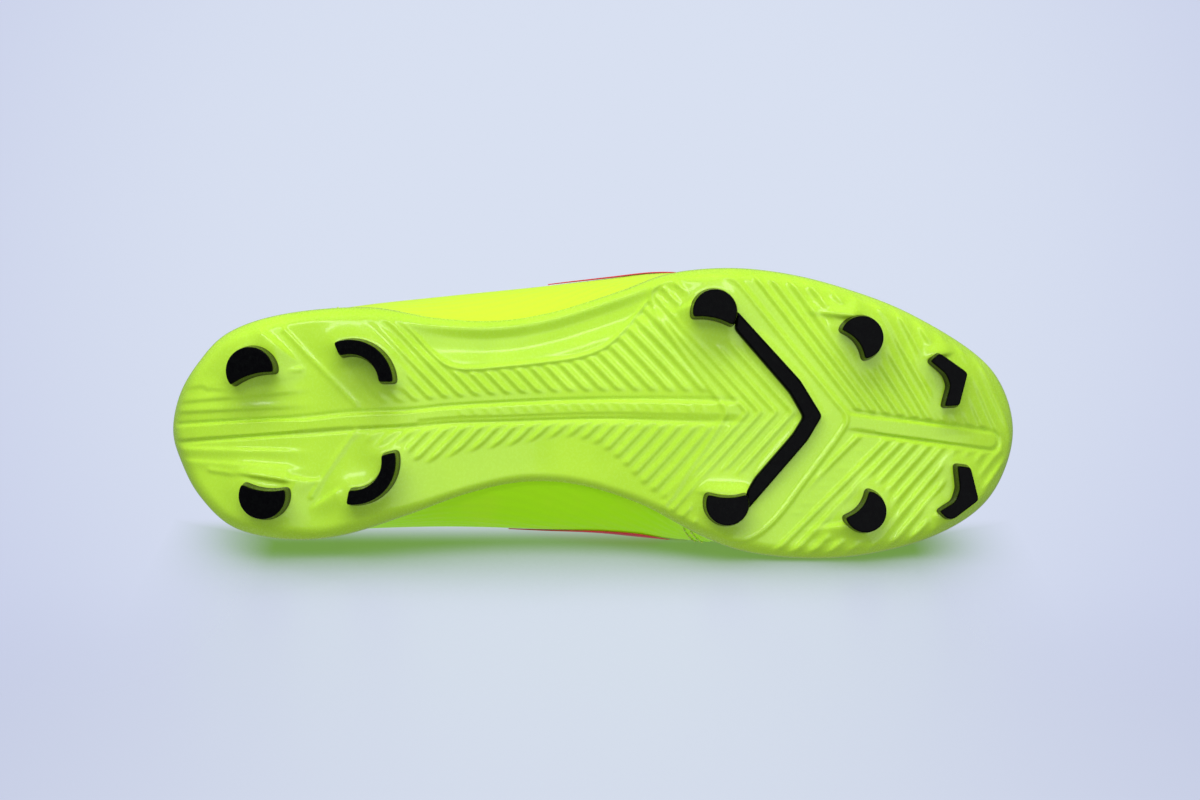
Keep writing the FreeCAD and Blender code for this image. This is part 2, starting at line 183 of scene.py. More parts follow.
# ---- materials -----------------------------------------------------------------------
def srgb(red, green, blue):
    """Screen colour from 0 to 255 as the linear colour that shaders take."""
    def linear(c):
        c /= 255.0
        return c / 12.92 if c <= 0.04045 else ((c + 0.055) / 1.055) ** 2.4
    return (linear(red), linear(green), linear(blue), 1.0)


class Nodes:
    """Short ways to add and join the nodes of one shader tree."""

    def __init__(self, tree):
        self.tree = tree

    def link(self, source, target):
        self.tree.links.new(source, target)

    def feed(self, socket, value):
        """Join an output to a socket, or set the socket where the value is a plain one."""
        if hasattr(value, "links"):
            self.link(value, socket)
        else:
            socket.default_value = value

    def add(self, kind, inputs=None, **settings):
        node = self.tree.nodes.new("ShaderNode" + kind)
        for key, value in settings.items():
            setattr(node, key, value)
        for key, value in (inputs or {}).items():
            self.feed(node.inputs[key], value)
        return node

    def math(self, operation, first, second=0.0):
        return self.add("Math", {0: first, 1: second}, operation=operation).outputs[0]

    def ramp(self, value, low, high, out_low=0.0, out_high=1.0, kind="SMOOTHSTEP"):
        inputs = {"Value": value, "From Min": low, "From Max": high,
                  "To Min": out_low, "To Max": out_high}
        return self.add("MapRange", inputs, interpolation_type=kind).outputs["Result"]

    def mix(self, factor, first, second):
        """Blend of two colours; a colour mix node keeps them in sockets 6 and 7."""
        return self.add("Mix", {0: factor, 6: first, 7: second}, data_type="RGBA").outputs[2]

    def mix_shaders(self, factor, first, second):
        return self.add("MixShader", {0: factor, 1: first.outputs[0], 2: second.outputs[0]})


class Shader(Nodes):
    """A node material under construction, in object space millimetres."""

    def __init__(self, name):
        self.material = bpy.data.materials.new(name)
        self.material.use_nodes = True
        super().__init__(self.material.node_tree)
        self.tree.nodes.clear()
        self.bsdf = self.add("BsdfPrincipled")
        self.add("OutputMaterial", {"Surface": self.bsdf.outputs[0]})
        place = self.add("TexCoord").outputs["Object"]
        self.mm = self.add("VectorMath", {0: place, "Scale": 1 / MM}, operation="SCALE").outputs[0]

    def set(self, **values):
        for key, value in values.items():
            self.bsdf.inputs[key.replace("_", " ")].default_value = value

    def noise(self, scale, detail=3.0, roughness=0.55):
        inputs = {"Vector": self.mm, "Scale": scale, "Detail": detail, "Roughness": roughness}
        return self.add("TexNoise", inputs).outputs["Fac"]

    def cells(self, scale):
        inputs = {"Vector": self.mm, "Scale": scale}
        return self.add("TexVoronoi", inputs, feature="SMOOTH_F1").outputs["Distance"]

    def axes(self):
        return self.add("SeparateXYZ", {0: self.mm}).outputs

    def bump(self, height, distance_mm, strength=1.0):
        """Add relief on top of the relief that the shader already has."""
        inputs = {"Height": height, "Distance": distance_mm * MM, "Strength": strength}
        for before in self.bsdf.inputs["Normal"].links:
            inputs["Normal"] = before.from_socket
        self.link(self.add("Bump", inputs).outputs[0], self.bsdf.inputs["Normal"])

    def dye(self, patches, low, high, first, second, painted_glow=0.0):
        """Two colours in soft patches, with a painted glow: emission of the same colour, partly the
        light a fluorescent dye gives back and partly painted light that brightens what lies in shade.
        """
        colour = self.mix(self.ramp(patches, low, high), srgb(*first), srgb(*second))
        self.feed(self.bsdf.inputs["Base Color"], colour)
        if painted_glow:
            self.painted_glow(colour, painted_glow)

    # Painted glow: the surface gives off light of its own colour, on top of what the lamps give it.
    def painted_glow(self, colour, strength):
        self.feed(self.bsdf.inputs["Emission Color"], colour)
        self.feed(self.bsdf.inputs["Emission Strength"], strength)

    def rough(self, patches, smoothest, roughest, low=0.3, high=0.7):
        value = self.ramp(patches, low, high, smoothest, roughest)
        self.feed(self.bsdf.inputs["Roughness"], value)


def plate_material():
    s = Shader("plate_tpu")
    s.set(IOR=1.5, Specular_IOR_Level=0.4, Coat_Weight=0.35, Coat_Roughness=0.06)
    s.set(Subsurface_Weight=0.12, Subsurface_Radius=(1.0, 1.3, 0.3), Subsurface_Scale=0.5 * MM)
    # Painted glow on the plate: emission that brightens it beyond the lamps' light, partly standing
    # for fluorescence.
    s.dye(s.noise(0.035, 2.0), 0.35, 0.65, (186, 233, 56), (179, 226, 50), painted_glow=0.06)
    s.rough(s.noise(0.9, 4.0, 0.7), 0.2, 0.34, high=0.75)
    s.bump(s.noise(0.25, 2.0), 0.05, 0.5)
    return s.material


def stud_material():
    s = Shader("stud_tpu")
    s.set(IOR=1.46, Specular_IOR_Level=0.06)
    s.dye(s.noise(0.5, 4.0, 0.6), 0.4, 0.7, (2, 2, 3), (5, 6, 6))
    s.rough(s.noise(1.2), 0.16, 0.3)
    s.bump(s.noise(0.8), 0.05, 0.3)
    return s.material


PLATE = plate_material()
STUD = stud_material()


# ---- plan of the shoe ----------------------------------------------------------------
PLATE_OUTLINE = [
    (6.3, 144.6), (-5.6, 142.2), (-16.6, 135.4), (-27.4, 124.4), (-33.8, 105.0), (-36.0, 77.0),
    (-32.4, 54.0), (-31.4, 34.0), (-34.4, 14.0), (-41.5, -8.9), (-47.5, -26.0), (-49.3, -46.0),
    (-47.3, -66.0), (-42.1, -86.4), (-34.2, -107.1), (-21.2, -129.5), (-9.5, -140.3),
    (6.0, -144.6), (21.5, -140.6), (33.5, -131.3), (42.6, -114.6), (48.0, -93.4),
    (49.4, -73.0), (47.2, -52.0), (41.5, -36.0), (31.0, -15.7), (24.6, 5.0), (23.6, 24.0),
    (27.5, 43.0), (35.0, 64.0), (41.8, 86.0), (43.0, 105.0), (38.8, 122.9), (28.2, 134.6),
    (16.6, 141.4),
]
PLATE_BOTTOM = curve([
    (150.0, 27.0), (144.6, 21.0), (137.1, 15.6), (124.3, 12.8), (100.7, 12.3), (75.0, 12.6),
    (48.0, 14.2), (18.0, 15.8), (-12.0, 14.2), (-42.0, 11.4), (-70.0, 10.6), (-92.1, 11.4),
    (-111.4, 13.6), (-126.4, 16.6), (-137.1, 19.8), (-144.6, 23.2), (-150.0, 26.5),
])
PLATE_THICK = 4.5
PLATE_RING = loop_curve(PLATE_OUTLINE)
MIDDLE = curve([(98.0, 4.5), (70.0, 2.0), (25.0, -3.0), (-15.0, -4.0), (-50.0, 0.0),
                (-80.0, 4.0), (-95.0, 6.0)])
HEEL_HUB = 98.0
TOE_HUB = -95.0
FAN_RADIUS = 44.0


def ray_hits(hubs, ways, ring):
    """Distance along each ray, from its hub, to a closed outline."""
    hubs, ways = np.broadcast_arrays(np.atleast_2d(hubs).astype(float), ways)
    edge = (np.roll(ring, -1, 0) - ring)[None]
    gap = ring[None] - hubs[:, None]
    wx, wy = ways[:, None, 0], ways[:, None, 1]
    det = edge[..., 0] * wy - edge[..., 1] * wx
    det = np.where(np.abs(det) < 1e-9, 1e-9, det)
    along = (edge[..., 0] * gap[..., 1] - edge[..., 1] * gap[..., 0]) / det
    share = (wx * gap[..., 1] - wy * gap[..., 0]) / det
    good = (along > 0) & (share >= 0) & (share <= 1)
    return np.where(good, along, 0).max(axis=1)


def columns(step):
    """Spine points and outward directions right round the shoe: lateral side, toe, medial, heel."""
    n_side = int((HEEL_HUB - TOE_HUB) / step)
    n_fan = int(math.pi * FAN_RADIUS / step)
    out = np.linspace(HEEL_HUB, TOE_HUB, n_side, endpoint=False)
    back = np.linspace(TOE_HUB, HEEL_HUB, n_side, endpoint=False)
    turn = np.linspace(math.pi, 2 * math.pi, n_fan, endpoint=False)
    hubs = [np.column_stack([MIDDLE(out), out]),
            np.tile([float(MIDDLE(TOE_HUB)), TOE_HUB], (n_fan, 1)),
            np.column_stack([MIDDLE(back), back]),
            np.tile([float(MIDDLE(HEEL_HUB)), HEEL_HUB], (n_fan, 1))]
    ways = [np.tile([-1.0, 0.0], (n_side, 1)), np.column_stack([np.cos(turn), np.sin(turn)]),
            np.tile([1.0, 0.0], (n_side, 1)),
            np.column_stack([np.cos(turn - math.pi), np.sin(turn - math.pi)])]
    return np.vstack(hubs), np.vstack(ways)


def plan_points(hubs, ways, reach):
    """The x and the y of points at a distance out from the spine."""
    return (hubs + ways * reach[:, None]).T


# ---- studs: outlines -----------------------------------------------------------------
def arc_points(centre, radius, start, end, count):
    turn = np.radians(np.linspace(start, end, count))
    return np.column_stack([centre[0] + np.cos(turn) * radius, centre[1] + np.sin(turn) * radius])


def bitten_disc(centre, radius, facing, chord, sag):
    half = math.degrees(math.acos(chord / radius))
    rim = arc_points(centre, radius, facing + half, facing + 360 - half, 44)
    corner_a, corner_b = rim[-1], rim[0]
    way = np.array([math.cos(math.radians(facing)), math.sin(math.radians(facing))])
    bite = [corner_a + (corner_b - corner_a) * t - way * sag * (1 - (2 * t - 1) ** 2)
            for t in np.linspace(0, 1, 16)[1:-1]]
    return np.vstack([rim, bite])


def arc_bar(centre, outer, inner, start, end):
    return np.vstack([arc_points(centre, outer, start, end, 34),
                      arc_points(centre, inner, end, start, 26)])


def eased(points, blur, spacing=0.45):
    """Closed outline, evenly resampled, with its corners eased."""
    p = np.array(points, float)
    p = np.vstack([p, p[:1]])
    run = np.concatenate([[0], np.cumsum(np.hypot(*np.diff(p, axis=0).T))])
    at = np.linspace(0, run[-1], int(run[-1] / spacing), endpoint=False)
    ring = np.column_stack([np.interp(at, run, p[:, k]) for k in (0, 1)])
    shifts = range(-7, 8)
    weights = [math.exp(-0.5 * (k * spacing / blur) ** 2) for k in shifts]
    return sum(w * np.roll(ring, k, 0) for w, k in zip(weights, shifts)) / sum(weights)


STUD_OUTLINES = {
    "stud_heel_rear_lateral": bitten_disc((-14.2, 114.9), 8.3, -17.0, 3.2, 1.4),
    "stud_heel_rear_medial": bitten_disc((27.6, 110.7), 8.2, 187.0, 3.4, 1.4),
    "stud_heel_front_lateral": arc_bar((-10.1, 81.4), 14.8, 9.3, 157.0, 270.0),
    "stud_heel_front_medial": arc_bar((16.2, 80.4), 14.8, 9.3, -104.0, 10.0),
    "stud_ball_lateral": bitten_disc((-34.0, -40.6), 7.8, 12.0, 3.7, 1.2),
    "stud_ball_medial": bitten_disc((30.3, -44.8), 7.6, 180.0, 3.6, 1.2),
    "stud_mid_lateral": bitten_disc((-25.3, -89.8), 7.6, 51.0, 4.2, 2.0),
    "stud_mid_medial": bitten_disc((32.9, -91.0), 7.4, 131.0, 4.2, 2.0),
    "stud_toe_lateral": np.array([
        (-17.5, -112.7), (-20.6, -116.4), (-13.6, -126.3), (-2.2, -123.4), (-1.9, -117.6),
        (-9.4, -119.7), (-13.0, -118.2)]),
    "stud_toe_medial": np.array([
        (17.3, -122.0), (18.0, -127.2), (29.4, -130.0), (36.0, -121.4), (35.9, -118.8),
        (33.0, -115.8), (29.7, -121.4), (25.5, -122.9)]),
}
CORNER_EASE = 0.85
STUD_TIP = {"mid": 0.8, "toe": 6.0}
CHEVRON = [
    (-34.7, -48.4), (-11.1, -69.9), (1.0, -77.3), (9.4, -72.3), (32.7, -52.1),
    (27.0, -51.1), (21.9, -54.1), (7.1, -66.9), (1.3, -70.5), (-6.7, -65.9), (-28.3, -47.3),
]
CHEVRON_RING = eased(CHEVRON, 0.9)
CHEVRON_RISE = 3.4
MOUND_RISE = 1.8
# Folds that run out of the stud mounds: start, end, height, and which flank is the gentle one.
FLARES = [
    ((87.4, 32.8), (69.5, 34.6), 1.5, 1), ((89.0, -37.2), (69.5, -40.2), 1.5, -1),
    ((35.2, 37.6), (25.5, 32.8), 1.3, -1), ((51.5, -29.0), (31.0, -25.6), 1.5, 1),
    ((119.0, 20.2), (110.5, 18.4), 1.2, 1), ((121.5, -33.0), (112.5, -36.4), 1.2, -1),
    ((-111.5, 27.0), (-98.5, 15.6), 1.4, 1), ((-100.0, -22.6), (-92.0, -24.4), 0.9, 1),
    ((-105.0, -22.4), (-129.0, -18.6), 1.3, 1), ((-88.0, -27.5), (-97.0, -34.0), 1.0, -1),
]


def stud_ring(name):
    return eased(STUD_OUTLINES[name], CORNER_EASE)


# ---- relief of the sole's underside --------------------------------------------------
SPINE_LATERAL = curve([(-141, -3.8), (-116, -2.2), (-99, -1.4), (-82, 0.3), (-65, 0.9), (-48, 2.5),
                       (-31, 3.5), (2, 4.7), (36, 4.5), (48, 4.2)])
SPINE_MEDIAL = curve([(-141, -10.0), (-116, -8.1), (-99, -6.9), (-82, -5.7), (-65, -4.9),
                      (-48, -3.5), (-31, -3.0), (2, -2.0), (36, -2.7), (48, -2.9)])
LATERAL_LIMIT = curve([(-70, 33), (-62, 28), (-55, 20.6), (-50, 16.5), (-46, 15.2), (-41, 15),
                       (-31, 15.8), (-15, 17.5), (-4.5, 19.2), (1.2, 21.1), (5.6, 23.6),
                       (10.6, 28.6), (15.7, 34.7), (18.4, 38.1)])
MEDIAL_LIMIT = curve([(-82, -9), (-70, -12), (-58, -17), (-45, -14), (-30, -11.5), (2, -11.5),
                      (10, -17.5), (16.3, -24), (29, -33), (40, -42)])
FRAME_OUTLINE = [
    (19.7, 41.5), (24.1, 44.6), (30.0, 46.0), (40.0, 47.2), (47.0, 45.4), (51.1, 41.5),
    (67.0, 22.2), (82.0, 4.0), (85.6, -1.2), (83.6, -6.6), (72.0, -22.2), (61.2, -36.1),
    (52.0, -42.6), (42.0, -42.4), (32.5, -38.8), (24.1, -32.7), (27.0, -27.6), (33.0, -18.6),
    (43.0, -3.4), (44.6, 0.4), (42.6, 4.4), (31.0, 19.4), (20.9, 34.6),
]
FRAME_RING = loop_curve(FRAME_OUTLINE, 8)
V_LINES = (52.1, 56.4, 61.6, 67.4)
HEEL_LINES = [
    [(-104.6, 28.0), (-95.0, 18.0), (-80.4, 3.0)],
    [(-80.4, -5.7), (-88.0, -16.5), (-95.5, -28.3)],
    [(-129.9, -19.2), (-116.0, -21.6), (-102.3, -24.0), (-93.5, -23.0)],
    [(-131.0, 8.5), (-120.0, 9.0), (-107.0, 13.6), (-99.0, 14.8)],
]
# Long flutes beside the spine at the heel end: place at the heel, drift and height.
HEEL_FLUTES = [(0.6, 0.045, 0.6), (4.0, 0.085, 0.55), (8.6, 0.10, 0.35), (-12.2, -0.02, 0.6),
               (-16.2, -0.07, 0.4)]
RIB_PITCH = 5.56
FRONT_PITCH = 4.75
RIB_HEIGHT = 0.8


def chevron_depth(a, b):
    """Distance towards the toe of the chevron line through a point, measured on the spine."""
    return a + 0.90 * np.abs(b - 0.3)


def rib_wave(phase, sharpness=1.6):
    """Soft ridges with a steeper toe side, one per unit of phase."""
    t = phase - np.floor(phase)
    skew = np.where(t < 0.38, t / 0.76, 0.5 + (t - 0.38) / 1.24)
    return (0.5 - 0.5 * np.cos(2 * math.pi * skew)) ** sharpness


def spine_relief(a, b):
    edge_lateral, edge_medial = SPINE_LATERAL(a), SPINE_MEDIAL(a)
    on_strip = smooth(52, 47, a)
    groove = ridge(b - edge_lateral, 0.55) + ridge(b - edge_medial, 0.6)
    top = edge_lateral - 0.7
    bottom = edge_medial + np.where(a > -60, 2.0, 0.8)
    strip = smooth(top + 0.4, top - 0.4, b) * smooth(bottom - 0.4, bottom + 0.4, b)
    dash = smooth(-48, -46, a) * smooth(38.5, 36.5, a)
    centre = (top + bottom) / 2
    tick = smooth(0.2, 0.5, np.sin((a + 0.5 * b) * 2 * math.pi / 4.6))
    tick = tick * smooth(1.1, 0.8, np.abs(b - centre))
    return on_strip * (0.45 * strip - 0.6 * groove + 0.16 * dash * tick)


def rib_relief(a, b):
    """Diagonal ribs each side of the spine, behind the forefoot frame."""
    lateral = smooth(SPINE_LATERAL(a) + 2.2, SPINE_LATERAL(a) + 4.2, b)
    lateral *= smooth(LATERAL_LIMIT(a) - 0.4, LATERAL_LIMIT(a) - 2.2, b)
    lateral *= smooth(-84, -52, a)
    medial = smooth(SPINE_MEDIAL(a) - 0.8, SPINE_MEDIAL(a) - 2.2, b)
    medial *= smooth(MEDIAL_LIMIT(a) - 0.6, MEDIAL_LIMIT(a) + 2.6, b)
    medial *= smooth(-90, -60, a)
    lean = 0.96 - 0.10 * smooth(-10, 40, a)
    along_lateral = (a + lean * (b - 4.0)) / RIB_PITCH
    along_medial = (a - lean * (b + 3.0)) / RIB_PITCH
    outside = smooth(-0.2, 1.2, signed(a, b, FRAME_RING)) * smooth(46, 42, a)
    wave = lateral * rib_wave(along_lateral + 0.15) + medial * rib_wave(along_medial + 0.1)
    limit = ridge(b - LATERAL_LIMIT(a), 0.75) * smooth(-66, -58, a) * smooth(20, 17, a)
    return outside * RIB_HEIGHT * wave + 0.8 * limit


def frame_relief(a, b):
    """Raised border of the forefoot panel and the nested chevrons inside it."""
    d = signed(a, b, FRAME_RING)
    border = 0.75 * ridge(d, 0.8) + 0.25 * smooth(0.6, -1.2, d)
    within = smooth(-0.8, -2.2, d)
    ridges = sum(ridge(chevron_depth(a, b) - line, 0.9) for line in V_LINES)
    away = smooth(9.5, 13.0, np.hypot(a - 40.6, b - 34.0))
    away = away * smooth(9.5, 13.0, np.hypot(a - 44.8, b + 30.3))
    return border + 0.7 * within * away * ridges


FRONT_AXIS = (84.8, -2.6, -0.136)      # start, its b, and the slope of the front spine
FRONT_HALF = 3.1


def front_relief(a, b):
    """Front spine strip and the ribs that fan out from it in front of the frame."""
    start, b_start, slope = FRONT_AXIS
    off = b - (b_start + (a - start) * slope)
    tip = np.hypot(np.maximum(a - 135.0, 0), off)
    rim = np.where(a > 135.0, tip, np.abs(off)) - FRONT_HALF
    groove = ridge(rim, 0.6) * smooth(86, 89, a)
    strip = smooth(0.3, -0.7, rim) * smooth(84, 88, a)
    reach = np.maximum(np.abs(off) - FRONT_HALF, 0)
    root = a.copy()
    for _ in range(16):
        lateral_turn = np.radians(49 + 14 * smooth(88, 138, root))
        medial_turn = np.radians(48 + 5 * smooth(88, 138, root))
        root = 0.5 * root + 0.5 * (a + reach / np.tan(np.where(off > 0, lateral_turn, medial_turn)))
    field = smooth(1.6, 3.4, signed(a, b, FRAME_RING)) * smooth(86, 89, root)
    field *= smooth(0.8, 1.8, np.maximum(rim, 0)) * smooth(5.0, 8.0, np.abs(off) + (a - 60) * 0.6)
    band = (off < 0) * smooth(92.2, 93.4, root) * smooth(99.4, 98.2, root)
    ticks = smooth(0.3, 0.7, np.sin(off * 2 * math.pi / 3.4))
    ticks = ticks * smooth(94, 95, root) * smooth(97.6, 96.6, root)
    ribs = rib_wave(root / FRONT_PITCH + 0.3) * (1 - band)
    return (0.45 * strip - 0.6 * groove + RIB_HEIGHT * field * ribs
            + 0.12 * band * ticks * smooth(6, 9, np.abs(off)) * smooth(38, 34, np.abs(off)))


def heel_relief(a, b):
    total = np.zeros(np.shape(a))
    for points in HEEL_LINES:
        total += 0.45 * ridge(line_distance(a, b, loop_curve(points, closed=False)), 0.9)
    for start, slope, height in HEEL_FLUTES:
        off = b - start - slope * (a + 141)
        flute = ridge(off, np.where(off * np.sign(start) > 0, 2.0, 0.7))
        total += height * flute * smooth(-92, -112, a)
    return total


def mound_relief(a, b):
    total = np.zeros(np.shape(a))
    for name in STUD_OUTLINES:
        d = signed(-b, -a, stud_ring(name))
        flare = 4.2 if "front" in name else 5.4
        total = np.maximum(total, MOUND_RISE * np.exp(-(np.maximum(d - 0.5, 0) / flare) ** 1.35))
    for (a0, b0), (a1, b1), height, flank in FLARES:
        length = math.hypot(a1 - a0, b1 - b0)
        along = ((a - a0) * (a1 - a0) + (b - b0) * (b1 - b0)) / length
        off = flank * ((a - a0) * (b1 - b0) - (b - b0) * (a1 - a0)) / length
        fold = ridge(off, np.where(off > 0, 3.6, 0.8)) * ridge(np.maximum(-along, 0), 2.5)
        total += height * fold * smooth(length, 0.25 * length, along)
    bar = signed(-b, -a, CHEVRON_RING)
    return np.maximum(total, 0.7 * np.exp(-(np.maximum(bar, 0) / 1.6) ** 1.5))


def sole_relief(a, b):
    mound = mound_relief(a, b)
    quiet = smooth(1.6, 0.5, mound)
    pattern = spine_relief(a, b) + rib_relief(a, b) + frame_relief(a, b)
    pattern += front_relief(a, b) + heel_relief(a, b)
    return mound + pattern * quiet


EDGE_ROUND = 5.0
RIM_RISE = curve([(141, 9.0), (120, 7.5), (90, 5.0), (60, 2.6), (20, 1.8), (-20, 2.4), (-60, 4.0),
                  (-100, 5.5), (-141, 7.5)])
RIM_THICK = 1.6
# Outer side of the rim: share of its height, and distance in from the plate's edge.
RIM_SECTION = [(0.35, 0.0), (0.7, 0.15), (0.9, 0.45), (1.0, 1.0), (0.94, 1.5)]
FLOOR_SINK = 0.6


def sole_height(x, y, reach_left):
    """Height of the underside; reach_left is the distance to the plate's edge."""
    a, b = -y, -x
    soft = smooth(0.6, 3.6, reach_left)
    waist = smooth(-78, -40, a) * smooth(40, 5, a)
    radius = EDGE_ROUND - 1.6 * waist
    e = np.clip(radius - reach_left, 0, radius)
    curl = radius - np.sqrt(np.maximum(radius**2 - e**2, 0))
    flute = 1.3 * waist * smooth(2.0, 7.0, reach_left) * smooth(16.0, 9.0, reach_left) * (b > 0)
    return PLATE_BOTTOM(y) + curl + flute - sole_relief(a, b) * soft


def build_plate():
    step = 0.58
    hubs, ways = columns(step)
    reach = ray_hits(hubs, ways, PLATE_RING)
    rows = []
    for s in 1 - (1 - np.linspace(0, 1, int(36 / step) + 8)) ** 1.15:
        x, y = plan_points(hubs, ways, reach * s)
        rows.append(np.column_stack([x, y, sole_height(x, y, reach * (1 - s))]))
    edge = rows[-1]
    top = PLATE_BOTTOM(edge[:, 1]) + PLATE_THICK + RIM_RISE(edge[:, 1])
    for lift, back in RIM_SECTION:
        z = edge[:, 2] + (top - edge[:, 2]) * lift
        rows.append(np.column_stack([edge[:, :2] - ways * back, z]))
    floor_z = PLATE_BOTTOM(edge[:, 1]) + PLATE_THICK - FLOOR_SINK
    rows.append(np.column_stack([edge[:, :2] - ways * RIM_THICK, floor_z]))
    for s in (0.85, 0.5, 0.0):
        x, y = plan_points(hubs, ways, (reach - RIM_THICK) * s)
        rows.append(np.column_stack([x, y, PLATE_BOTTOM(y) + PLATE_THICK - FLOOR_SINK]))
    faces = grid_faces(len(rows), len(hubs), wrap_columns=True)
    plate = new_mesh("outsole_plate_visual", np.vstack(rows), faces, PLATE, "plate_tpu")
    weld(plate)
    face_out(plate)
    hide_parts("outsole_plate")


def ring_inset(ring, distance):
    """Closed outline moved inwards by a distance."""
    tangent = unit(np.roll(ring, -1, 0) - np.roll(ring, 1, 0))
    area = 0.5 * np.sum(ring[:, 0] * np.roll(ring[:, 1], -1) - np.roll(ring[:, 0], -1) * ring[:, 1])
    inward = np.column_stack([-tangent[:, 1], tangent[:, 0]]) * math.copysign(1, area)
    return ring + inward * distance


def capped_prism(name, ring, levels, material, slot, replaces):
    """Prism over an outline; levels are (inset, height or heights), from the base to the tip."""
    rows = []
    for inset, z in levels:
        moved = ring_inset(ring, inset)
        rows.append(np.column_stack([moved, np.broadcast_to(z, len(ring))]))
    n = len(ring)
    faces = grid_faces(len(rows), n, wrap_columns=True)
    for row in (0, len(rows) - 1):
        flat = [Vector((x, y, 0)) for x, y, z in rows[row]]
        faces += [tuple(i + row * n for i in face) for face in tessellate_polygon([flat])]
    piece = new_mesh(name, np.vstack(rows), faces, material, slot)
    face_out(piece)
    for polygon in piece.data.polygons:
        polygon.use_smooth = len(polygon.vertices) > 3
    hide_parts(replaces)


def build_studs():
    for name in STUD_OUTLINES:
        ring = stud_ring(name)
        middle_y = (ring[:, 1].max() + ring[:, 1].min()) / 2
        seat = float(PLATE_BOTTOM(middle_y)) - MOUND_RISE
        tip = next((z for key, z in STUD_TIP.items() if key in name), 0.0)
        levels = [(-0.5, seat + 1.6), (-0.4, seat), (-0.2, seat - 1.2), (0.1, (seat + tip) / 2),
                  (0.3, tip + 0.9), (0.36, tip + 0.45), (0.5, tip + 0.15), (0.75, tip + 0.02)]
        capped_prism(name + "_visual", ring, levels, STUD, "stud_tpu", name)
    seat = PLATE_BOTTOM(CHEVRON_RING[:, 1])
    low = float(PLATE_BOTTOM(-60.0)) - CHEVRON_RISE
    levels = [(0.0, seat + 0.8), (0.0, seat - 0.6), (0.15, low + 1.0), (0.3, low + 0.45),
              (0.6, low + 0.12), (0.95, low)]
    capped_prism("chevron_bar_visual", CHEVRON_RING, levels, STUD, "stud_tpu", "chevron_bar")


# ---- materials of the upper ----------------------------------------------------------
def woven(shader, across, along, pitch, depth):
    """Fine plain weave from two crossed sets of threads."""
    first = shader.math("SINE", shader.math("MULTIPLY", across, 2 * math.pi / pitch))
    second = shader.math("SINE", shader.math("MULTIPLY", along, 2 * math.pi / pitch))
    shader.bump(shader.math("MULTIPLY", first, second), depth)


def upper_material():
    s = Shader("upper_synthetic")
    s.set(Specular_IOR_Level=0.2)
    x, y, z = s.axes()
    base = s.mix(s.ramp(x, -40.0, 38.0), srgb(198, 236, 52), srgb(176, 250, 20))
    # Painted glow: emission that brightens the upper where the lamps leave it in shade.
    s.painted_glow(base, 0.14)
    patches = s.ramp(s.noise(0.06), 0.4, 0.65, 0.0, 0.25)
    s.feed(s.bsdf.inputs["Base Color"], s.mix(patches, base, srgb(200, 240, 52)))
    s.rough(s.noise(1.1), 0.32, 0.46)
    ribs = s.math("SINE", s.math("MULTIPLY", s.math("ADD", z, s.math("MULTIPLY", y, 0.22)), 2.1))
    s.bump(ribs, 0.10, 0.5)
    s.bump(s.cells(1.6), 0.09, 0.6)
    s.bump(s.noise(0.12, 2.0), 0.25, 0.6)
    return s.material


def film_material():
    s = Shader("overlay_film")
    s.set(Coat_Weight=0.15, Coat_Roughness=0.15)
    # Painted glow: emission that brightens the film where it lies in shade.
    s.dye(s.noise(0.1, 2.0), 0.4, 0.6, (196, 242, 34), (182, 234, 26), painted_glow=0.10)
    s.rough(s.noise(1.5), 0.26, 0.4)
    s.bump(s.cells(2.4), 0.05, 0.5)
    return s.material


def accent_material():
    s = Shader("accent_film")
    s.set(Coat_Weight=0.3, Coat_Roughness=0.15)
    s.dye(s.noise(0.2, 2.0), 0.4, 0.6, (228, 30, 40), (218, 24, 36))
    s.rough(s.noise(1.5), 0.28, 0.42)
    s.bump(s.noise(1.5), 0.04, 0.5)
    return s.material


def lining_material():
    s = Shader("lining_mesh")
    s.set(Sheen_Weight=0.35, Sheen_Roughness=0.5)
    x, y, z = s.axes()
    s.dye(s.noise(0.4), 0.4, 0.65, (38, 46, 44), (54, 64, 60))
    s.rough(s.noise(2.0, 2.0), 0.75, 0.92)
    woven(s, s.math("ADD", x, y), z, 1.3, 0.22)
    return s.material


def knit_material():
    s = Shader("tongue_textile")
    s.set(Sheen_Weight=0.3, Sheen_Roughness=0.45)
    x, y, z = s.axes()
    # Painted glow: emission that brightens the tongue where it lies in shade.
    s.dye(s.noise(0.5), 0.4, 0.65, (186, 232, 32), (206, 244, 50), painted_glow=0.12)
    s.rough(s.noise(2.0, 2.0), 0.6, 0.8)
    woven(s, x, s.math("ADD", y, z), 1.1, 0.2)
    return s.material


def lace_material():
    s = Shader("lace_cord")
    s.set(Sheen_Weight=0.25, Sheen_Roughness=0.4)
    x, y, _ = s.axes()
    # Painted glow: emission that brightens the lace beyond the lamps' light.
    s.dye(s.noise(0.8), 0.4, 0.65, (226, 252, 80), (204, 240, 56), painted_glow=0.14)
    s.rough(s.noise(2.0, 2.0), 0.55, 0.75)
    woven(s, s.math("ADD", x, y), s.math("SUBTRACT", x, y), 0.9, 0.14)
    return s.material


def thread_material():
    s = Shader("stitch_thread")
    s.set(Sheen_Weight=0.3)
    s.dye(s.noise(1.5, 2.0), 0.4, 0.6, (170, 214, 30), (224, 246, 90))
    s.rough(s.noise(3.0, 2.0), 0.45, 0.65)
    s.bump(s.noise(4.0, 2.0), 0.05, 0.6)
    return s.material


def foam_material():
    s = Shader("sockliner_foam")
    s.set(Sheen_Weight=0.25, Sheen_Roughness=0.5)
    x, y, _ = s.axes()
    s.dye(s.noise(0.4), 0.4, 0.65, (30, 34, 33), (44, 50, 48))
    s.rough(s.noise(2.0, 2.0), 0.8, 0.95)
    woven(s, x, y, 1.4, 0.2)
    return s.material


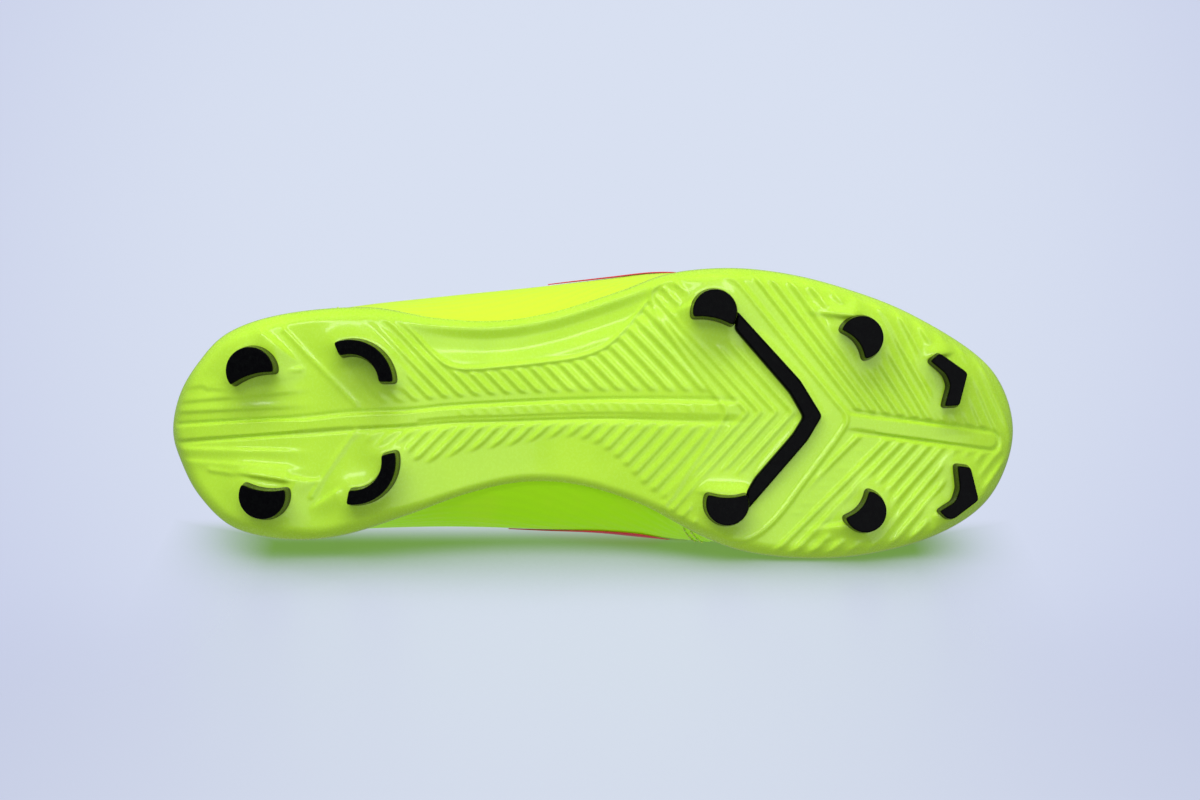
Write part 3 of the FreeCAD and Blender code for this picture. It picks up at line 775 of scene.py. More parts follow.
def board_material():
    s = Shader("stiffener_board")
    s.dye(s.noise(0.8, 4.0), 0.4, 0.65, (178, 172, 158), (150, 146, 136))
    s.rough(s.noise(2.0, 2.0), 0.7, 0.9)
    s.bump(s.noise(3.0, 4.0), 0.12, 0.6)
    return s.material


UPPER = upper_material()
FILM = film_material()
ACCENT = accent_material()
LINING = lining_material()
KNIT = knit_material()
LACE = lace_material()
THREAD = thread_material()
FOAM = foam_material()
BOARD = board_material()


# ---- shape of the upper --------------------------------------------------------------
UPPER_LATERAL = [
    (6.0, 141.2), (-6.0, 139.2), (-17.0, 132.4), (-26.0, 121.7), (-32.6, 105.0), (-37.0, 82.0),
    (-40.6, 50.0), (-43.4, 22.0), (-46.4, -5.0), (-47.9, -19.0), (-48.2, -32.0), (-47.4, -46.0),
    (-45.4, -66.0), (-40.4, -86.0), (-32.6, -106.1), (-20.0, -127.7), (-9.0, -138.2),
    (6.0, -142.7),
]
UPPER_MEDIAL = [
    (21.0, -138.4), (32.4, -129.2), (41.0, -113.6), (45.2, -93.2), (46.0, -73.0),
    (45.6, -56.0), (44.4, -39.0), (42.4, -16.0), (41.0, 0.0), (40.2, 25.0), (39.6, 50.0),
    (40.0, 74.0), (40.8, 95.4), (38.2, 113.6), (31.6, 126.8), (22.0, 136.0), (14.0, 140.1),
]
UPPER_RING = loop_curve(UPPER_LATERAL + UPPER_MEDIAL)
RIDGE = curve([(139, 132), (118, 140), (95, 140), (70, 130), (45, 110), (15, 90), (-15, 75),
               (-45, 64), (-75, 57.4), (-95, 54.0), (-139, 47.0)])
CENTRE = curve([(132, 5.5), (95, 4.0), (70, 3.0), (45, 2.0), (15, 1.0), (-15, 1.0), (-45, 2.0),
                (-75, 4.0), (-100, 6.0), (-139, 6.5)])
WIDEST = curve([(139, 44), (100, 42), (20, 41), (-20, 37), (-60, 31), (-100, 30), (-139, 31)])
POWER = curve([(139, 2.6), (95, 2.6), (0, 2.5), (-60, 2.3), (-95, 2.1)])
TOPLINE = curve([(22, 112), (34, 101), (44, 88.5), (58, 76), (74, 68), (90, 65.5), (106, 69.5),
                 (121, 79.5), (131, 85.6), (138, 87.6), (146, 87.8)])
LEAN = curve([(98, 0.0), (78, 0.22), (30, 0.0), (-28, -0.38), (-60, -0.2), (-95, 0.0)])
THROAT_BASE = (-36.0, 7.0)
THROAT_TOP = (60.0, 9.5)
PLATE_TOP_INSET = 1.9
LOWER_SHARE = 0.34


def upper_floor(y):
    return PLATE_BOTTOM(y) + PLATE_THICK - 1.0


def cut_margin(x, y, z):
    """Positive where the upper is kept, negative past the topline or inside the throat."""
    below_top = TOPLINE(y) - z
    (base_y, base_half), (top_y, top_half) = THROAT_BASE, THROAT_TOP
    half = base_half + (top_half - base_half) * np.clip((y - base_y) / (top_y - base_y), 0, 1)
    off = x - CENTRE(y)
    slot = np.where(y > base_y, np.abs(off) - half, np.hypot(off, y - base_y) - base_half)
    slot = slot + 3.0 * np.maximum(y - 52.0, 0)
    h = np.clip(0.5 + 0.5 * (slot - below_top) / 9.0, 0, 1)
    return slot * (1 - h) + below_top * h - 9.0 * h * (1 - h)


def section_reach(q, foot_reach, wide_reach, floor, wide_z, ridge_z, power):
    """Distance from the middle and height along a section, from the plate (0) to the ridge (1)."""
    theta = np.clip(q / LOWER_SHARE, 0, 1) * math.pi / 2
    phi = np.clip((q - LOWER_SHARE) / (1 - LOWER_SHARE), 0, 1) * math.pi / 2
    low = q < LOWER_SHARE
    z = np.where(low, floor + (wide_z - floor) * theta / (math.pi / 2),
                 wide_z + (ridge_z - wide_z) * np.sin(phi) ** (2 / power))
    rise = np.maximum(np.cos(phi), 1e-9) ** (2 / power)
    r = np.where(low, foot_reach + (wide_reach - foot_reach) * np.sin(theta), wide_reach * rise)
    return r, z


REACH_ROWS = np.linspace(TOE_HUB - 1, HEEL_HUB + 1, 400)
REACH = {
    (side, which): ray_hits(np.column_stack([CENTRE(REACH_ROWS), REACH_ROWS]),
                            np.array([[side, 0.0]]), ring)
    for side in (-1, 1) for which, ring in (("plate", PLATE_RING), ("upper", UPPER_RING))
}


def side_reach(y, side, which):
    """Distance in x from the upper's centre line to an outline."""
    return np.interp(y, REACH_ROWS, REACH[side, which])


def side_sections(y0, side, outward, samples=220):
    q = np.linspace(0, 1, samples)[None, :]
    start = np.asarray(y0, float)[:, None]
    y = np.broadcast_to(start, (len(start), samples)).copy()
    lean = LEAN(start)
    for _ in range(4):
        floor = upper_floor(y)
        foot = side_reach(y, side, "plate") - PLATE_TOP_INSET + min(outward, 0)
        wide = side_reach(y, side, "upper") + outward
        r, z = section_reach(q, foot, wide, floor, WIDEST(y), RIDGE(y) + outward, POWER(y))
        y = start + lean * (z - floor)
    return np.stack([CENTRE(y) + side * r, y, z], axis=2)


def fan_sections(turn, hub_y, outward, samples=220):
    q = np.linspace(0, 1, samples)[None, :]
    hub = np.array([float(CENTRE(hub_y)), hub_y])
    ways = np.column_stack([np.cos(turn), np.sin(turn)])
    wide = ray_hits(hub, ways, UPPER_RING)[:, None] + outward
    foot = ray_hits(hub, ways, PLATE_RING)[:, None] - PLATE_TOP_INSET + min(outward, 0)
    y = hub[1] + ways[:, 1:2] * wide * (1 - q)
    for _ in range(4):
        r, z = section_reach(q, foot, wide, upper_floor(y), WIDEST(y), RIDGE(y) + outward,
                             POWER(y))
        y = hub[1] + ways[:, 1:2] * r
    return np.stack([hub[0] + ways[:, 0:1] * r, y, z], axis=2)


def arc_lengths(line):
    """Distance of each point of a line from its start, along the line."""
    gaps = np.linalg.norm(np.diff(line, axis=0), axis=1)
    return np.concatenate([[0], np.cumsum(gaps)])


def resample(section, low, high, rows):
    """Points evenly spaced along one section between two arc lengths."""
    along = arc_lengths(section)
    target = np.linspace(low, high, rows)
    return np.column_stack([np.interp(target, along, section[:, i]) for i in range(3)])


def cut_length(section):
    """Arc length at which a section meets the topline or the throat."""
    along = arc_lengths(section)
    margin = cut_margin(section[:, 0], section[:, 1], section[:, 2])
    past = np.nonzero(margin < 0)[0]
    if len(past) == 0 or past[0] == 0:
        return along[-1]
    i = past[0]
    share = margin[i - 1] / (margin[i - 1] - margin[i])
    return along[i - 1] + share * (along[i] - along[i - 1])


def length_at_height(section, z):
    return float(np.interp(z, np.maximum.accumulate(section[:, 2]), arc_lengths(section)))


VAMP_SEAM = -30.0
HEEL_SEAM = 84.0


def side_range(low, high, step):
    return np.linspace(low, high, max(2, int(abs(high - low) / step) + 1))


def end_sections(ys, outward, step):
    """Sections up one side to the last of ys, round that end of the shoe and down the other side."""
    side, start = (1, 0.0) if ys[-1] > 0 else (-1, math.pi)
    turn = np.linspace(start, start + math.pi, int(math.pi * FAN_RADIUS / step))[1:-1]
    return np.concatenate([side_sections(ys, side, outward), fan_sections(turn, ys[-1], outward),
                           side_sections(ys[::-1], -side, outward)])


def panel_sections(name, outward):
    """Sections of one panel, in order round the shoe."""
    step = 1.7
    if name == "vamp":
        return end_sections(side_range(VAMP_SEAM, TOE_HUB, step), outward, step)
    if name == "heel_panel":
        return end_sections(side_range(HEEL_SEAM, HEEL_HUB, step), outward, step)
    side = -1 if name.startswith("lateral") else 1
    ys = side_range(HEEL_SEAM + 4.0, VAMP_SEAM - 4.0, step)
    if side > 0:
        ys = ys[::-1]
    return side_sections(ys, side, outward)


PANEL_RAISE = {"vamp": 0.0, "lateral_quarter": 0.3, "medial_quarter": 0.3, "heel_panel": 0.55}
SKIN = 1.7


def solidify(piece, thickness, inner=None, offset=-1.0):
    modifier = piece.modifiers.new("thickness", "SOLIDIFY")
    modifier.thickness = thickness * MM
    modifier.offset = offset
    modifier.use_even_offset = False
    if inner is not None:
        piece.data.materials.append(inner)
        modifier.material_offset = 1
    bevel = piece.modifiers.new("edge", "BEVEL")
    bevel.width = 0.35 * MM
    bevel.segments = 2
    bevel.limit_method = "ANGLE"
    bevel.angle_limit = math.radians(50)
    apply_modifiers(piece)
    piece.data.polygons.foreach_set("use_smooth", [True] * len(piece.data.polygons))


def section_mesh(name, sections, spans, rows, material, slot):
    grid = np.array([resample(s, low, high, rows) for s, (low, high) in zip(sections, spans)])
    n, m = grid.shape[:2]
    piece = new_mesh(name, grid.reshape(-1, 3), grid_faces(n, m, flip=True), material, slot)
    weld(piece, 0.05)
    orient_outwards(piece)
    return piece


def orient_outwards(piece):
    """Turn an open skin's faces so that they look away from the middle of the shoe."""
    total = 0.0
    for polygon in piece.data.polygons:
        centre = polygon.center
        middle = Vector((4 * MM, min(max(centre.y, TOE_HUB * MM), HEEL_HUB * MM), 35 * MM))
        total += polygon.normal.dot(centre - middle) * polygon.area
    if total < 0:
        piece.data.flip_normals()


def build_panels():
    for name, raise_by in PANEL_RAISE.items():
        sections = panel_sections(name, raise_by)
        spans = [(0.0, cut_length(s)) for s in sections]
        rows = 60
        piece = section_mesh(name + "_visual", sections, spans, rows, UPPER, "upper_synthetic")
        solidify(piece, SKIN, LINING)
        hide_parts(name)


STIFFENER_GAP = 0.5
COUNTER_DROP = 26.0
COUNTER_THICK = 1.2
TOE_PUFF_START_Y = -104.0
TOE_PUFF_SHARE = 0.78
TOE_PUFF_THICK = 1.0


def build_stiffeners():
    sections = panel_sections("heel_panel", -SKIN - STIFFENER_GAP)
    spans = []
    for s in sections:
        top = length_at_height(s, float(TOPLINE(s[-1, 1])) - COUNTER_DROP)
        spans.append((1.0, min(top, cut_length(s) - 20.0)))
    counter = section_mesh("heel_counter_visual", sections, spans, 16, BOARD, "stiffener")
    solidify(counter, COUNTER_THICK)
    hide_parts("heel_counter")
    sections = panel_sections("vamp", -SKIN - STIFFENER_GAP)
    sections = [s for s in sections if s[80, 1] < TOE_PUFF_START_Y]
    spans = [(1.0, cut_length(s) * TOE_PUFF_SHARE) for s in sections]
    toe_puff = section_mesh("toe_puff_visual", sections, spans, 16, BOARD, "stiffener")
    solidify(toe_puff, TOE_PUFF_THICK)
    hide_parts("toe_puff")


def tube_along(points, radius, sides=8, closed=False, flat=1.0, ups=None):
    """Vertices and faces of a tube; flat squeezes it along ups, the direction of its thin side."""
    p = np.asarray(points, float)
    n = len(p)
    tangent = np.roll(p, -1, 0) - np.roll(p, 1, 0)
    if not closed:
        tangent[0], tangent[-1] = p[1] - p[0], p[-1] - p[-2]
    tangent = unit(tangent)
    if ups is None:
        ups = np.tile([0.0, 0.0, 1.0], (n, 1))
        steep = np.abs(tangent[:, 2]) > 0.95
        ups[steep] = [1.0, 0.0, 0.0]
    across = unit(np.cross(tangent, ups))
    normal = np.cross(across, tangent)
    turn = np.linspace(0, 2 * math.pi, sides, endpoint=False)
    ring = (across[:, None, :] * np.cos(turn)[None, :, None] * radius
            + normal[:, None, :] * np.sin(turn)[None, :, None] * radius * flat)
    verts = (p[:, None, :] + ring).reshape(-1, 3)
    faces = grid_faces(n, sides, wrap_rows=closed, wrap_columns=True)
    if not closed:
        faces.append(tuple(range(sides))[::-1])
        faces.append(tuple(range((n - 1) * sides, n * sides)))
    return verts, faces


def joined(parts):
    """Vertices and faces of several meshes as one."""
    verts, faces, base = [], [], 0
    for v, f in parts:
        verts.append(v)
        faces.extend(tuple(i + base for i in face) for face in f)
        base += len(v)
    return np.vstack(verts), faces


def stitches(line, outward, length=1.9, gap=1.1, radius=0.32):
    """Short thread loops lying along a surface line."""
    along = arc_lengths(line)
    parts = []
    for start in np.arange(0.5, along[-1] - length, length + gap):
        t = np.linspace(start, start + length, 5)
        lift = 0.18 * np.sin(np.linspace(0, math.pi, 5)) - 0.05
        p = np.column_stack([np.interp(t, along, line[:, i]) for i in range(3)])
        way = np.column_stack([np.interp(t, along, outward[:, i]) for i in range(3)])
        parts.append(tube_along(p + way * lift[:, None], radius, 6))
    return parts


def surface_line(y0, side, raised_by, low, high, count=60):
    """Line up a panel at one section, with the outward direction at each point."""
    own = side_sections([y0], side, raised_by)[0]
    near = side_sections([y0 - 0.5], side, raised_by)[0]
    top = cut_length(own)
    p = resample(own, low, top - high, count)
    q = resample(near, low, cut_length(near) - high, count)
    way = unit(np.cross(np.gradient(p, axis=0), q - p))
    outward = np.column_stack([np.full(count, side * 1.0), np.zeros(count), np.full(count, 0.3)])
    way *= np.sign(np.sum(way * outward, axis=1))[:, None]
    return p, way


def build_seams():
    parts = []
    for side in (-1, 1):
        for y0, raised_by in ((VAMP_SEAM - 1.6, 0.5), (VAMP_SEAM + 0.9, 0.5),
                              (HEEL_SEAM + 2.0, 0.6), (HEEL_SEAM + 4.5, 0.6)):
            p, way = surface_line(y0, side, raised_by, 5.0, 2.0)
            parts += stitches(p, way)
    new_mesh("panel_stitching", *joined(parts), THREAD, "overlay_film")


# ---- eyestays, eyelets and lace ------------------------------------------------------
STATION_LATERAL = curve([(139, -8), (132, -19), (118, -29.5), (95, -35), (70, -37), (45, -38.5),
                         (15, -42.5), (-15, -46), (-45, -48), (-75, -45), (-100, -36.5)])
STATION_MEDIAL = curve([(139, 18), (132, 29.5), (118, 38.5), (95, 41.5), (70, 40), (45, 38.5),
                        (15, 38), (-15, 39.5), (-45, 45), (-75, 48), (-100, 45.5)])
EYELET_ROWS = 6
EYELET_FIRST_Y = -28.0
EYELET_PITCH = 12.0
EYELET_OFFSET = 14.5
EYELET_RADIUS = 2.5
EYELET_WALL = 0.55
LACE_RADIUS = 1.3
LACE_HALF_WIDTH = 1.75
EYESTAY_THICK = 1.2
EYESTAY_WIDTH = 12.5
EYESTAY_ENDS = (-44.0, 36.0)


def instep_point(y, offset, inset=0.0):
    """Point on the instep, offset from its middle, as a row of x, y, z."""
    y, offset = np.broadcast_arrays(np.asarray(y, float), np.asarray(offset, float))
    middle = CENTRE(y)
    crest = RIDGE(y) - inset
    floor = PLATE_BOTTOM(y) + PLATE_THICK
    widest = floor + 0.3 * (np.minimum(crest, 95.0) - floor)
    half = np.where(offset > 0, STATION_MEDIAL(y) - middle, middle - STATION_LATERAL(y)) - inset
    height = (1 - np.minimum(np.abs(offset) / half, 1) ** 2.5) ** (1 / 2.5)
    return np.stack([middle + offset, y, widest + (crest - widest) * height], axis=-1)


def instep_normal(y, offset):
    across = instep_point(y, offset + 0.5) - instep_point(y, offset - 0.5)
    along = instep_point(y + 0.5, offset) - instep_point(y - 0.5, offset)
    return unit(np.cross(across, along))


def build_eyestays():
    for side, name in ((-1, "lateral_eyestay"), (1, "medial_eyestay")):
        ys = side_range(*EYESTAY_ENDS, 1.5)
        sections = side_sections(ys, side, 1.0)
        widths = (EYESTAY_WIDTH * smooth(-44.5, -30.0, ys) + 0.3) * (1.0 - 0.5 * smooth(20, 36, ys))
        tops = [cut_length(s) - 1.0 for s in sections]
        spans = [(top - width, top) for top, width in zip(tops, widths)]
        piece = section_mesh(name + "_visual", sections, spans, 14, FILM, "overlay_film")
        solidify(piece, 1.0, offset=0.0)
        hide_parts(name)


def ring_mesh(centre, normal, radius, tube, sides=28):
    side = unit(np.cross(normal, [0, 1, 0]))
    other = np.cross(normal, side)
    turn = np.linspace(0, 2 * math.pi, sides, endpoint=False)
    points = centre + radius * (np.cos(turn)[:, None] * side + np.sin(turn)[:, None] * other)
    return tube_along(points, tube, 10, closed=True, ups=np.tile(normal, (sides, 1)))


def upper_lift(point, normal, reach=9.0):
    """How far the panels stand outside the instep surface at a point, along its normal."""
    side = -1 if point[0] < CENTRE(point[1]) else 1
    rows = side_sections(np.linspace(point[1] - 14, point[1] + 40, 60), side, 1.5, 260)
    cloud = rows.reshape(-1, 3) - point
    height = cloud @ normal
    away = np.linalg.norm(cloud - height[:, None] * normal, axis=1)
    near = (away < 1.2) & (np.abs(height) < reach)
    return float(np.median(height[near])) if near.any() else 0.0


def build_eyelets():
    rims, holes = [], []
    for row in range(EYELET_ROWS):
        y = EYELET_FIRST_Y + EYELET_PITCH * row
        for side in (-1, 1):
            centre = instep_point(y, side * EYELET_OFFSET)
            normal = instep_normal(y, side * EYELET_OFFSET)
            centre = centre + normal * (upper_lift(centre, normal) + 0.25)
            rims.append(ring_mesh(centre, normal, EYELET_RADIUS, EYELET_WALL))
            holes.append(ring_mesh(centre - normal * 0.15, normal, 1.1, 1.25, 20))
    new_mesh("eyelet_rims", *joined(rims), STUD, "overlay_film")
    new_mesh("eyelet_bores", *joined(holes), LINING, "lining_mesh")


def lace_route():
    over = EYESTAY_THICK + LACE_RADIUS + 0.5
    under = 2.5 + LACE_RADIUS + 0.9
    route, ups = [], []
    for row in range(EYELET_ROWS):
        y = EYELET_FIRST_Y + EYELET_PITCH * row
        first = -1 if row % 2 == 0 else 1
        for side in (first, -first):
            centre = instep_point(y, side * EYELET_OFFSET)
            normal = instep_normal(y, side * EYELET_OFFSET)
            shoulder = instep_point(y, side * (THROAT_TOP[1] - 1.0)) + [0, 0, over + 0.3]
            leg = [centre - normal * under, centre + normal * over, shoulder]
            tops = [normal, normal, np.array([0.0, 0.0, 1.0])]
            route += leg if side == first else leg[::-1]
            ups += tops if side == first else tops[::-1]
    return np.array(route), np.array(ups)


def nurbs_points(route):
    """Points along the NURBS line that has the route's points as control points."""
    data = bpy.data.curves.new("lace_line", "CURVE")
    data.dimensions = "3D"
    spline = data.splines.new("NURBS")
    spline.points.add(len(route) - 1)
    for point, place in zip(spline.points, route):
        point.co = (*(np.array(place) * MM), 1.0)
    spline.order_u = 3
    spline.use_endpoint_u = True
    spline.resolution_u = 14
    obj = bpy.data.objects.new("lace_line", data)
    bpy.context.scene.collection.objects.link(obj)
    graph = bpy.context.evaluated_depsgraph_get()
    mesh = bpy.data.meshes.new_from_object(obj.evaluated_get(graph))
    points = np.array([v.co[:] for v in mesh.vertices]) / MM
    bpy.data.objects.remove(obj)
    bpy.data.curves.remove(data)
    bpy.data.meshes.remove(mesh)
    return points


def build_lace():
    route, ups = lace_route()
    points = nurbs_points(route)
    up = unit(nurbs_points(ups * 40.0))
    lace = new_mesh("lace_visual", *tube_along(points, LACE_HALF_WIDTH, 12, flat=0.62, ups=up),
                    LACE, "lace_cord")
    face_out(lace)
    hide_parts("lace")


# ---- tongue --------------------------------------------------------------------------
TONGUE_BASE_Y = -44.0
TONGUE_TIP_Y = 58.0
TONGUE_INSET = 8.0
TONGUE_THICK = 3.6
TONGUE_CORNER = 9.0
QUILT_HALF = 7.0
QUILT_LINE_Y = -40.0


def tongue_half(y):
    half = 17.0 + 5.0 * np.clip((y - TONGUE_BASE_Y) / 93.0, 0, 1)
    into = np.clip((y - (TONGUE_TIP_Y - TONGUE_CORNER)) / TONGUE_CORNER, 0, 1)
    return half - TONGUE_CORNER * (1 - np.sqrt(np.maximum(1 - into**2, 0)))


def tongue_grids(rows, across):
    """Points over the top and over the underside of the tongue."""
    ys = TONGUE_BASE_Y + (TONGUE_TIP_Y - TONGUE_BASE_Y) * np.linspace(0, 1, rows)
    w = np.linspace(-1, 1, across)
    w = np.sign(w) * (1 - (1 - np.abs(w)) ** 1.25)
    y, w = np.meshgrid(ys, w, indexing="ij")
    offset = w * tongue_half(y)
    share = (y - TONGUE_BASE_Y) / (TONGUE_TIP_Y - TONGUE_BASE_Y)
    edge = np.maximum(1 - np.abs(w) ** 5, 0) * smooth(0.0, 0.03, share) * smooth(1.0, 0.955, share)
    from_quilt = np.abs(offset) - QUILT_HALF
    channels = ridge(from_quilt, 0.7) * smooth(-30, -20, y) * smooth(50, 44, y)
    cross = ridge((y - QUILT_LINE_Y) % EYELET_PITCH - EYELET_PITCH / 2, 0.7)
    cross *= smooth(0.2, -0.4, from_quilt) * smooth(-30, -24, y) * smooth(46, 42, y)
    puff = 0.75 * edge * (1 - 0.9 * np.maximum(channels, cross))
    middle = instep_point(y, offset, TONGUE_INSET + TONGUE_THICK / 2)
    top = middle + np.stack([0 * y, 0 * y, 0.55 + 1.25 * edge + puff], -1)
    under = middle - np.stack([0 * y, 0 * y, 0.45 + 1.2 * edge], -1)
    return top.reshape(-1, 3), under.reshape(-1, 3)


def build_tongue():
    """Padded tongue, and the binding up its sides and round its tip."""
    rows, across = 92, 41
    top, under = tongue_grids(rows, across)
    border = ([(i, 0) for i in range(rows)] + [(rows - 1, j) for j in range(1, across)]
              + [(i, across - 1) for i in range(rows - 2, -1, -1)]
              + [(0, j) for j in range(across - 2, 0, -1)])
    loop = [i * across + j for i, j in border]
    n = rows * across
    sheet = grid_faces(rows, across)
    faces = sheet + [tuple(i + n for i in face[::-1]) for face in sheet]
    faces += [(a, b, b + n, a + n) for a, b in zip(loop, loop[1:] + loop[:1])]
    tongue = new_mesh("tongue_visual", np.vstack([top, under]), faces, KNIT, "tongue_textile", FLAP)
    face_out(tongue)
    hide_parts("tongue")
    bound = [i * across + j for i, j in border if i > 3]
    binding = (top[bound] + under[bound]) / 2
    new_mesh("tongue_binding", *tube_along(binding, 1.15, 10), FILM, "overlay_film", FLAP)


# ---- padded collar -------------------------------------------------------------------
COLLAR_START_Y = 44.0
COLLAR_NECK = 2.2
# Closed outline of the roll: distance into the shoe, and distance down from the topline.
COLLAR_SECTION = [
    (1.9, 7.0), (1.7, 1.6), (1.9, 0.0), (3.0, -1.2), (4.6, -1.3), (6.0, -0.3), (6.9, 1.6), (7.4, 4.4),
    (7.6, 7.6), (7.5, 10.8), (7.1, 14.0), (6.3, 17.2), (5.1, 20.0), (3.6, 21.8), (2.5, 21.0),
    (2.2, 16.0), (2.1, 11.0),
]


def collar_edge(step):
    """Points along the topline, and the ways down the lining and into the shoe from each."""
    ys = side_range(COLLAR_START_Y, HEEL_HUB, step)
    sections = end_sections(ys, 0.0, step)
    flank = np.column_stack([CENTRE(ys), ys])
    hubs = np.vstack([flank, np.tile(flank[-1], (len(sections) - 2 * len(ys), 1)), flank[::-1]])
    tops = [cut_length(s) for s in sections]
    ends = np.array([resample(s, top - 20.0, top, 2) for s, top in zip(sections, tops)])
    edge = ends[:, 1]
    down = unit(ends[:, 0] - edge)
    inward = np.column_stack([hubs - edge[:, :2], np.zeros(len(edge))])
    inward = unit(inward - down * np.sum(inward * down, axis=1)[:, None])
    return edge, down, inward


def build_collar():
    """Padded roll inside the topline, thinner towards its two front ends."""
    step = 1.8
    edge, down, inward = collar_edge(step)
    shape = loop_curve(COLLAR_SECTION, 3)
    n, m = len(edge), len(shape)
    close = smooth(-1.0, 12.0, np.minimum(np.arange(n), np.arange(n)[::-1]) * step)[:, None]
    into = COLLAR_NECK + (shape[:, 0] - COLLAR_NECK) * (0.25 + 0.75 * close)
    deep = shape[:, 1] * (0.45 + 0.55 * close)
    rows = (edge[:, None] + into[..., None] * inward[:, None] + deep[..., None] * down[:, None])
    faces = grid_faces(n, m, wrap_columns=True)
    faces.append(tuple(range(m)))
    faces.append(tuple(range((n - 1) * m, n * m))[::-1])
    collar = new_mesh("collar_lining_visual", rows.reshape(-1, 3), faces, LINING, "lining_mesh")
    face_out(collar)
    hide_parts("collar_lining")


# ---- inside the shoe -----------------------------------------------------------------
INSOLE_GAP = SKIN + 0.9


def inner_reach(hubs, ways, z, gap):
    """Distance from the spine to the inside of the upper at height z, column by column."""
    upper = ray_hits(hubs, ways, UPPER_RING)
    plate = ray_hits(hubs, ways, PLATE_RING) - PLATE_TOP_INSET
    edge_y = plan_points(hubs, ways, plate)[1]
    floor = upper_floor(edge_y)
    share = np.clip((z - floor) / (WIDEST(edge_y) - floor), 0, 1)
    return plate + (upper - plate) * np.sin(share * math.pi / 2) - gap


def build_insole():
    hubs, ways = columns(3.0)
    for name, low, high, cup, material, slot in (
            ("insole_board", PLATE_THICK, PLATE_THICK + 1.4, 0.0, BOARD, "board"),
            ("sockliner", PLATE_THICK + 1.5, PLATE_THICK + 5.0, 3.5, FOAM, "foam")):
        edge_z = PLATE_BOTTOM(plan_points(hubs, ways, ray_hits(hubs, ways, PLATE_RING))[1])
        reach = inner_reach(hubs, ways, edge_z + high, INSOLE_GAP)
        rows = []
        for s in np.concatenate([np.linspace(0, 0.9, 14), [0.95, 0.985, 1.0]]):
            x, y = plan_points(hubs, ways, reach * s)
            lift = high + cup * float(smooth(0.72, 1.0, s)) ** 1.5
            rows.append(np.column_stack([x, y, PLATE_BOTTOM(y) + lift]))
        low_reach = np.minimum(reach, inner_reach(hubs, ways, edge_z + low, INSOLE_GAP))
        for s in (0.995, 0.8, 0.4, 0.0):
            x, y = plan_points(hubs, ways, low_reach * s)
            rows.append(np.column_stack([x, y, PLATE_BOTTOM(y) + low]))
        piece = new_mesh(name + "_visual", np.vstack(rows),
                         grid_faces(len(rows), len(hubs), wrap_columns=True), material, slot)
        weld(piece)
        face_out(piece)
        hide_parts(name)


# ---- red blades on the waist ---------------------------------------------------------
ACCENT_ENDS = {-1: (-20.0, 18.0), 1: (-24.0, 30.0)}
ACCENT_LOW = {-1: curve([(-20, 39.4), (-12, 35.8), (0, 36.0), (10, 38.6), (18, 42.0)]),
              1: curve([(-24, 38.0), (-15, 33.0), (0, 35.0), (14, 39.0), (30, 45.5)])}
ACCENT_HIGH = {-1: curve([(-20, 39.6), (-12, 41.6), (18, 42.2)]),
               1: curve([(-24, 38.6), (-16, 43.0), (30, 46.0)])}


def build_accents():
    for side, name in ((-1, "lateral_accent"), (1, "medial_accent")):
        ys = side_range(*ACCENT_ENDS[side], 1.2)
        sections = side_sections(ys, side, 0.8)
        spans = [(length_at_height(s, float(ACCENT_LOW[side](y))),
                  length_at_height(s, float(ACCENT_HIGH[side](y))) + 0.3)
                 for s, y in zip(sections, ys)]
        piece = section_mesh(name + "_visual", sections, spans, 8, ACCENT, "accent_film")
        solidify(piece, 0.3, offset=0.0)
        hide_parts(name)


# ---- camera, lights and stage --------------------------------------------------------
SENSOR = 36.0
LENS = 76.4
CAMERA_HEIGHT = -0.85
VIEW_CENTRE = (-0.0044, -0.0022)
PALE = srgb(216, 224, 241)
# The second colour is painted shade: the backdrop and the paper darken towards it away from the
# middle of the view.
PAINTED_EDGE_SHADE = srgb(200, 207, 233)


def build_camera():
    camera = bpy.data.cameras.new("camera")
    camera.sensor_width = SENSOR
    camera.lens = LENS
    camera.clip_start = 0.01
    obj = bpy.data.objects.new("camera", camera)
    bpy.context.scene.collection.objects.link(obj)
    matrix = obj.matrix_world.copy()
    for column, axis in enumerate(((0, -1, 0), (-1, 0, 0), (0, 0, -1))):
        for row in range(3):
            matrix[row][column] = axis[row]
    matrix.translation = Vector((*VIEW_CENTRE, CAMERA_HEIGHT))
    obj.matrix_world = matrix
    bpy.context.scene.camera = obj


def area_light(name, place, target, size, power, colour=(1, 1, 1), glossy=True):
    light = bpy.data.lights.new(name, "AREA")
    light.shape = "RECTANGLE"
    light.size, light.size_y = size
    light.energy = power
    light.color = colour
    obj = bpy.data.objects.new(name, light)
    bpy.context.scene.collection.objects.link(obj)
    obj.location = place
    obj.rotation_euler = (Vector(target) - Vector(place)).to_track_quat("-Z", "Y").to_euler()
    obj.visible_glossy = glossy


def build_world():
    """Pale backdrop for what the camera sees, with painted shade darkening it away from straight up,
    the direction the camera looks along, and a gentler sky as fill light.
    """
    world = bpy.data.worlds.new("studio")
    bpy.context.scene.world = world
    world.use_nodes = True
    n = Nodes(world.node_tree)
    shown = n.tree.nodes["Background"]
    way = n.add("TexCoord").outputs["Generated"]

    def towards(*direction):
        return n.add("VectorMath", {0: way, 1: direction}, operation="DOT_PRODUCT").outputs["Value"]

    # Painted shade: the backdrop darkens away from the direction the camera looks along.
    tone = n.mix(n.ramp(towards(-0.06, 0.0, 1.0), 0.955, 1.0), PAINTED_EDGE_SHADE, PALE)
    n.feed(shown.inputs["Color"], tone)
    strength = n.ramp(towards(-0.80, 0.0, -0.60), -0.9, 0.9, 0.26, 0.42)
    fill = n.add("Background", {"Color": srgb(226, 230, 244), "Strength": strength})
    seen = n.mix_shaders(n.add("LightPath").outputs["Is Camera Ray"], fill, shown)
    n.link(seen.outputs[0], n.tree.nodes["World Output"].inputs["Surface"])


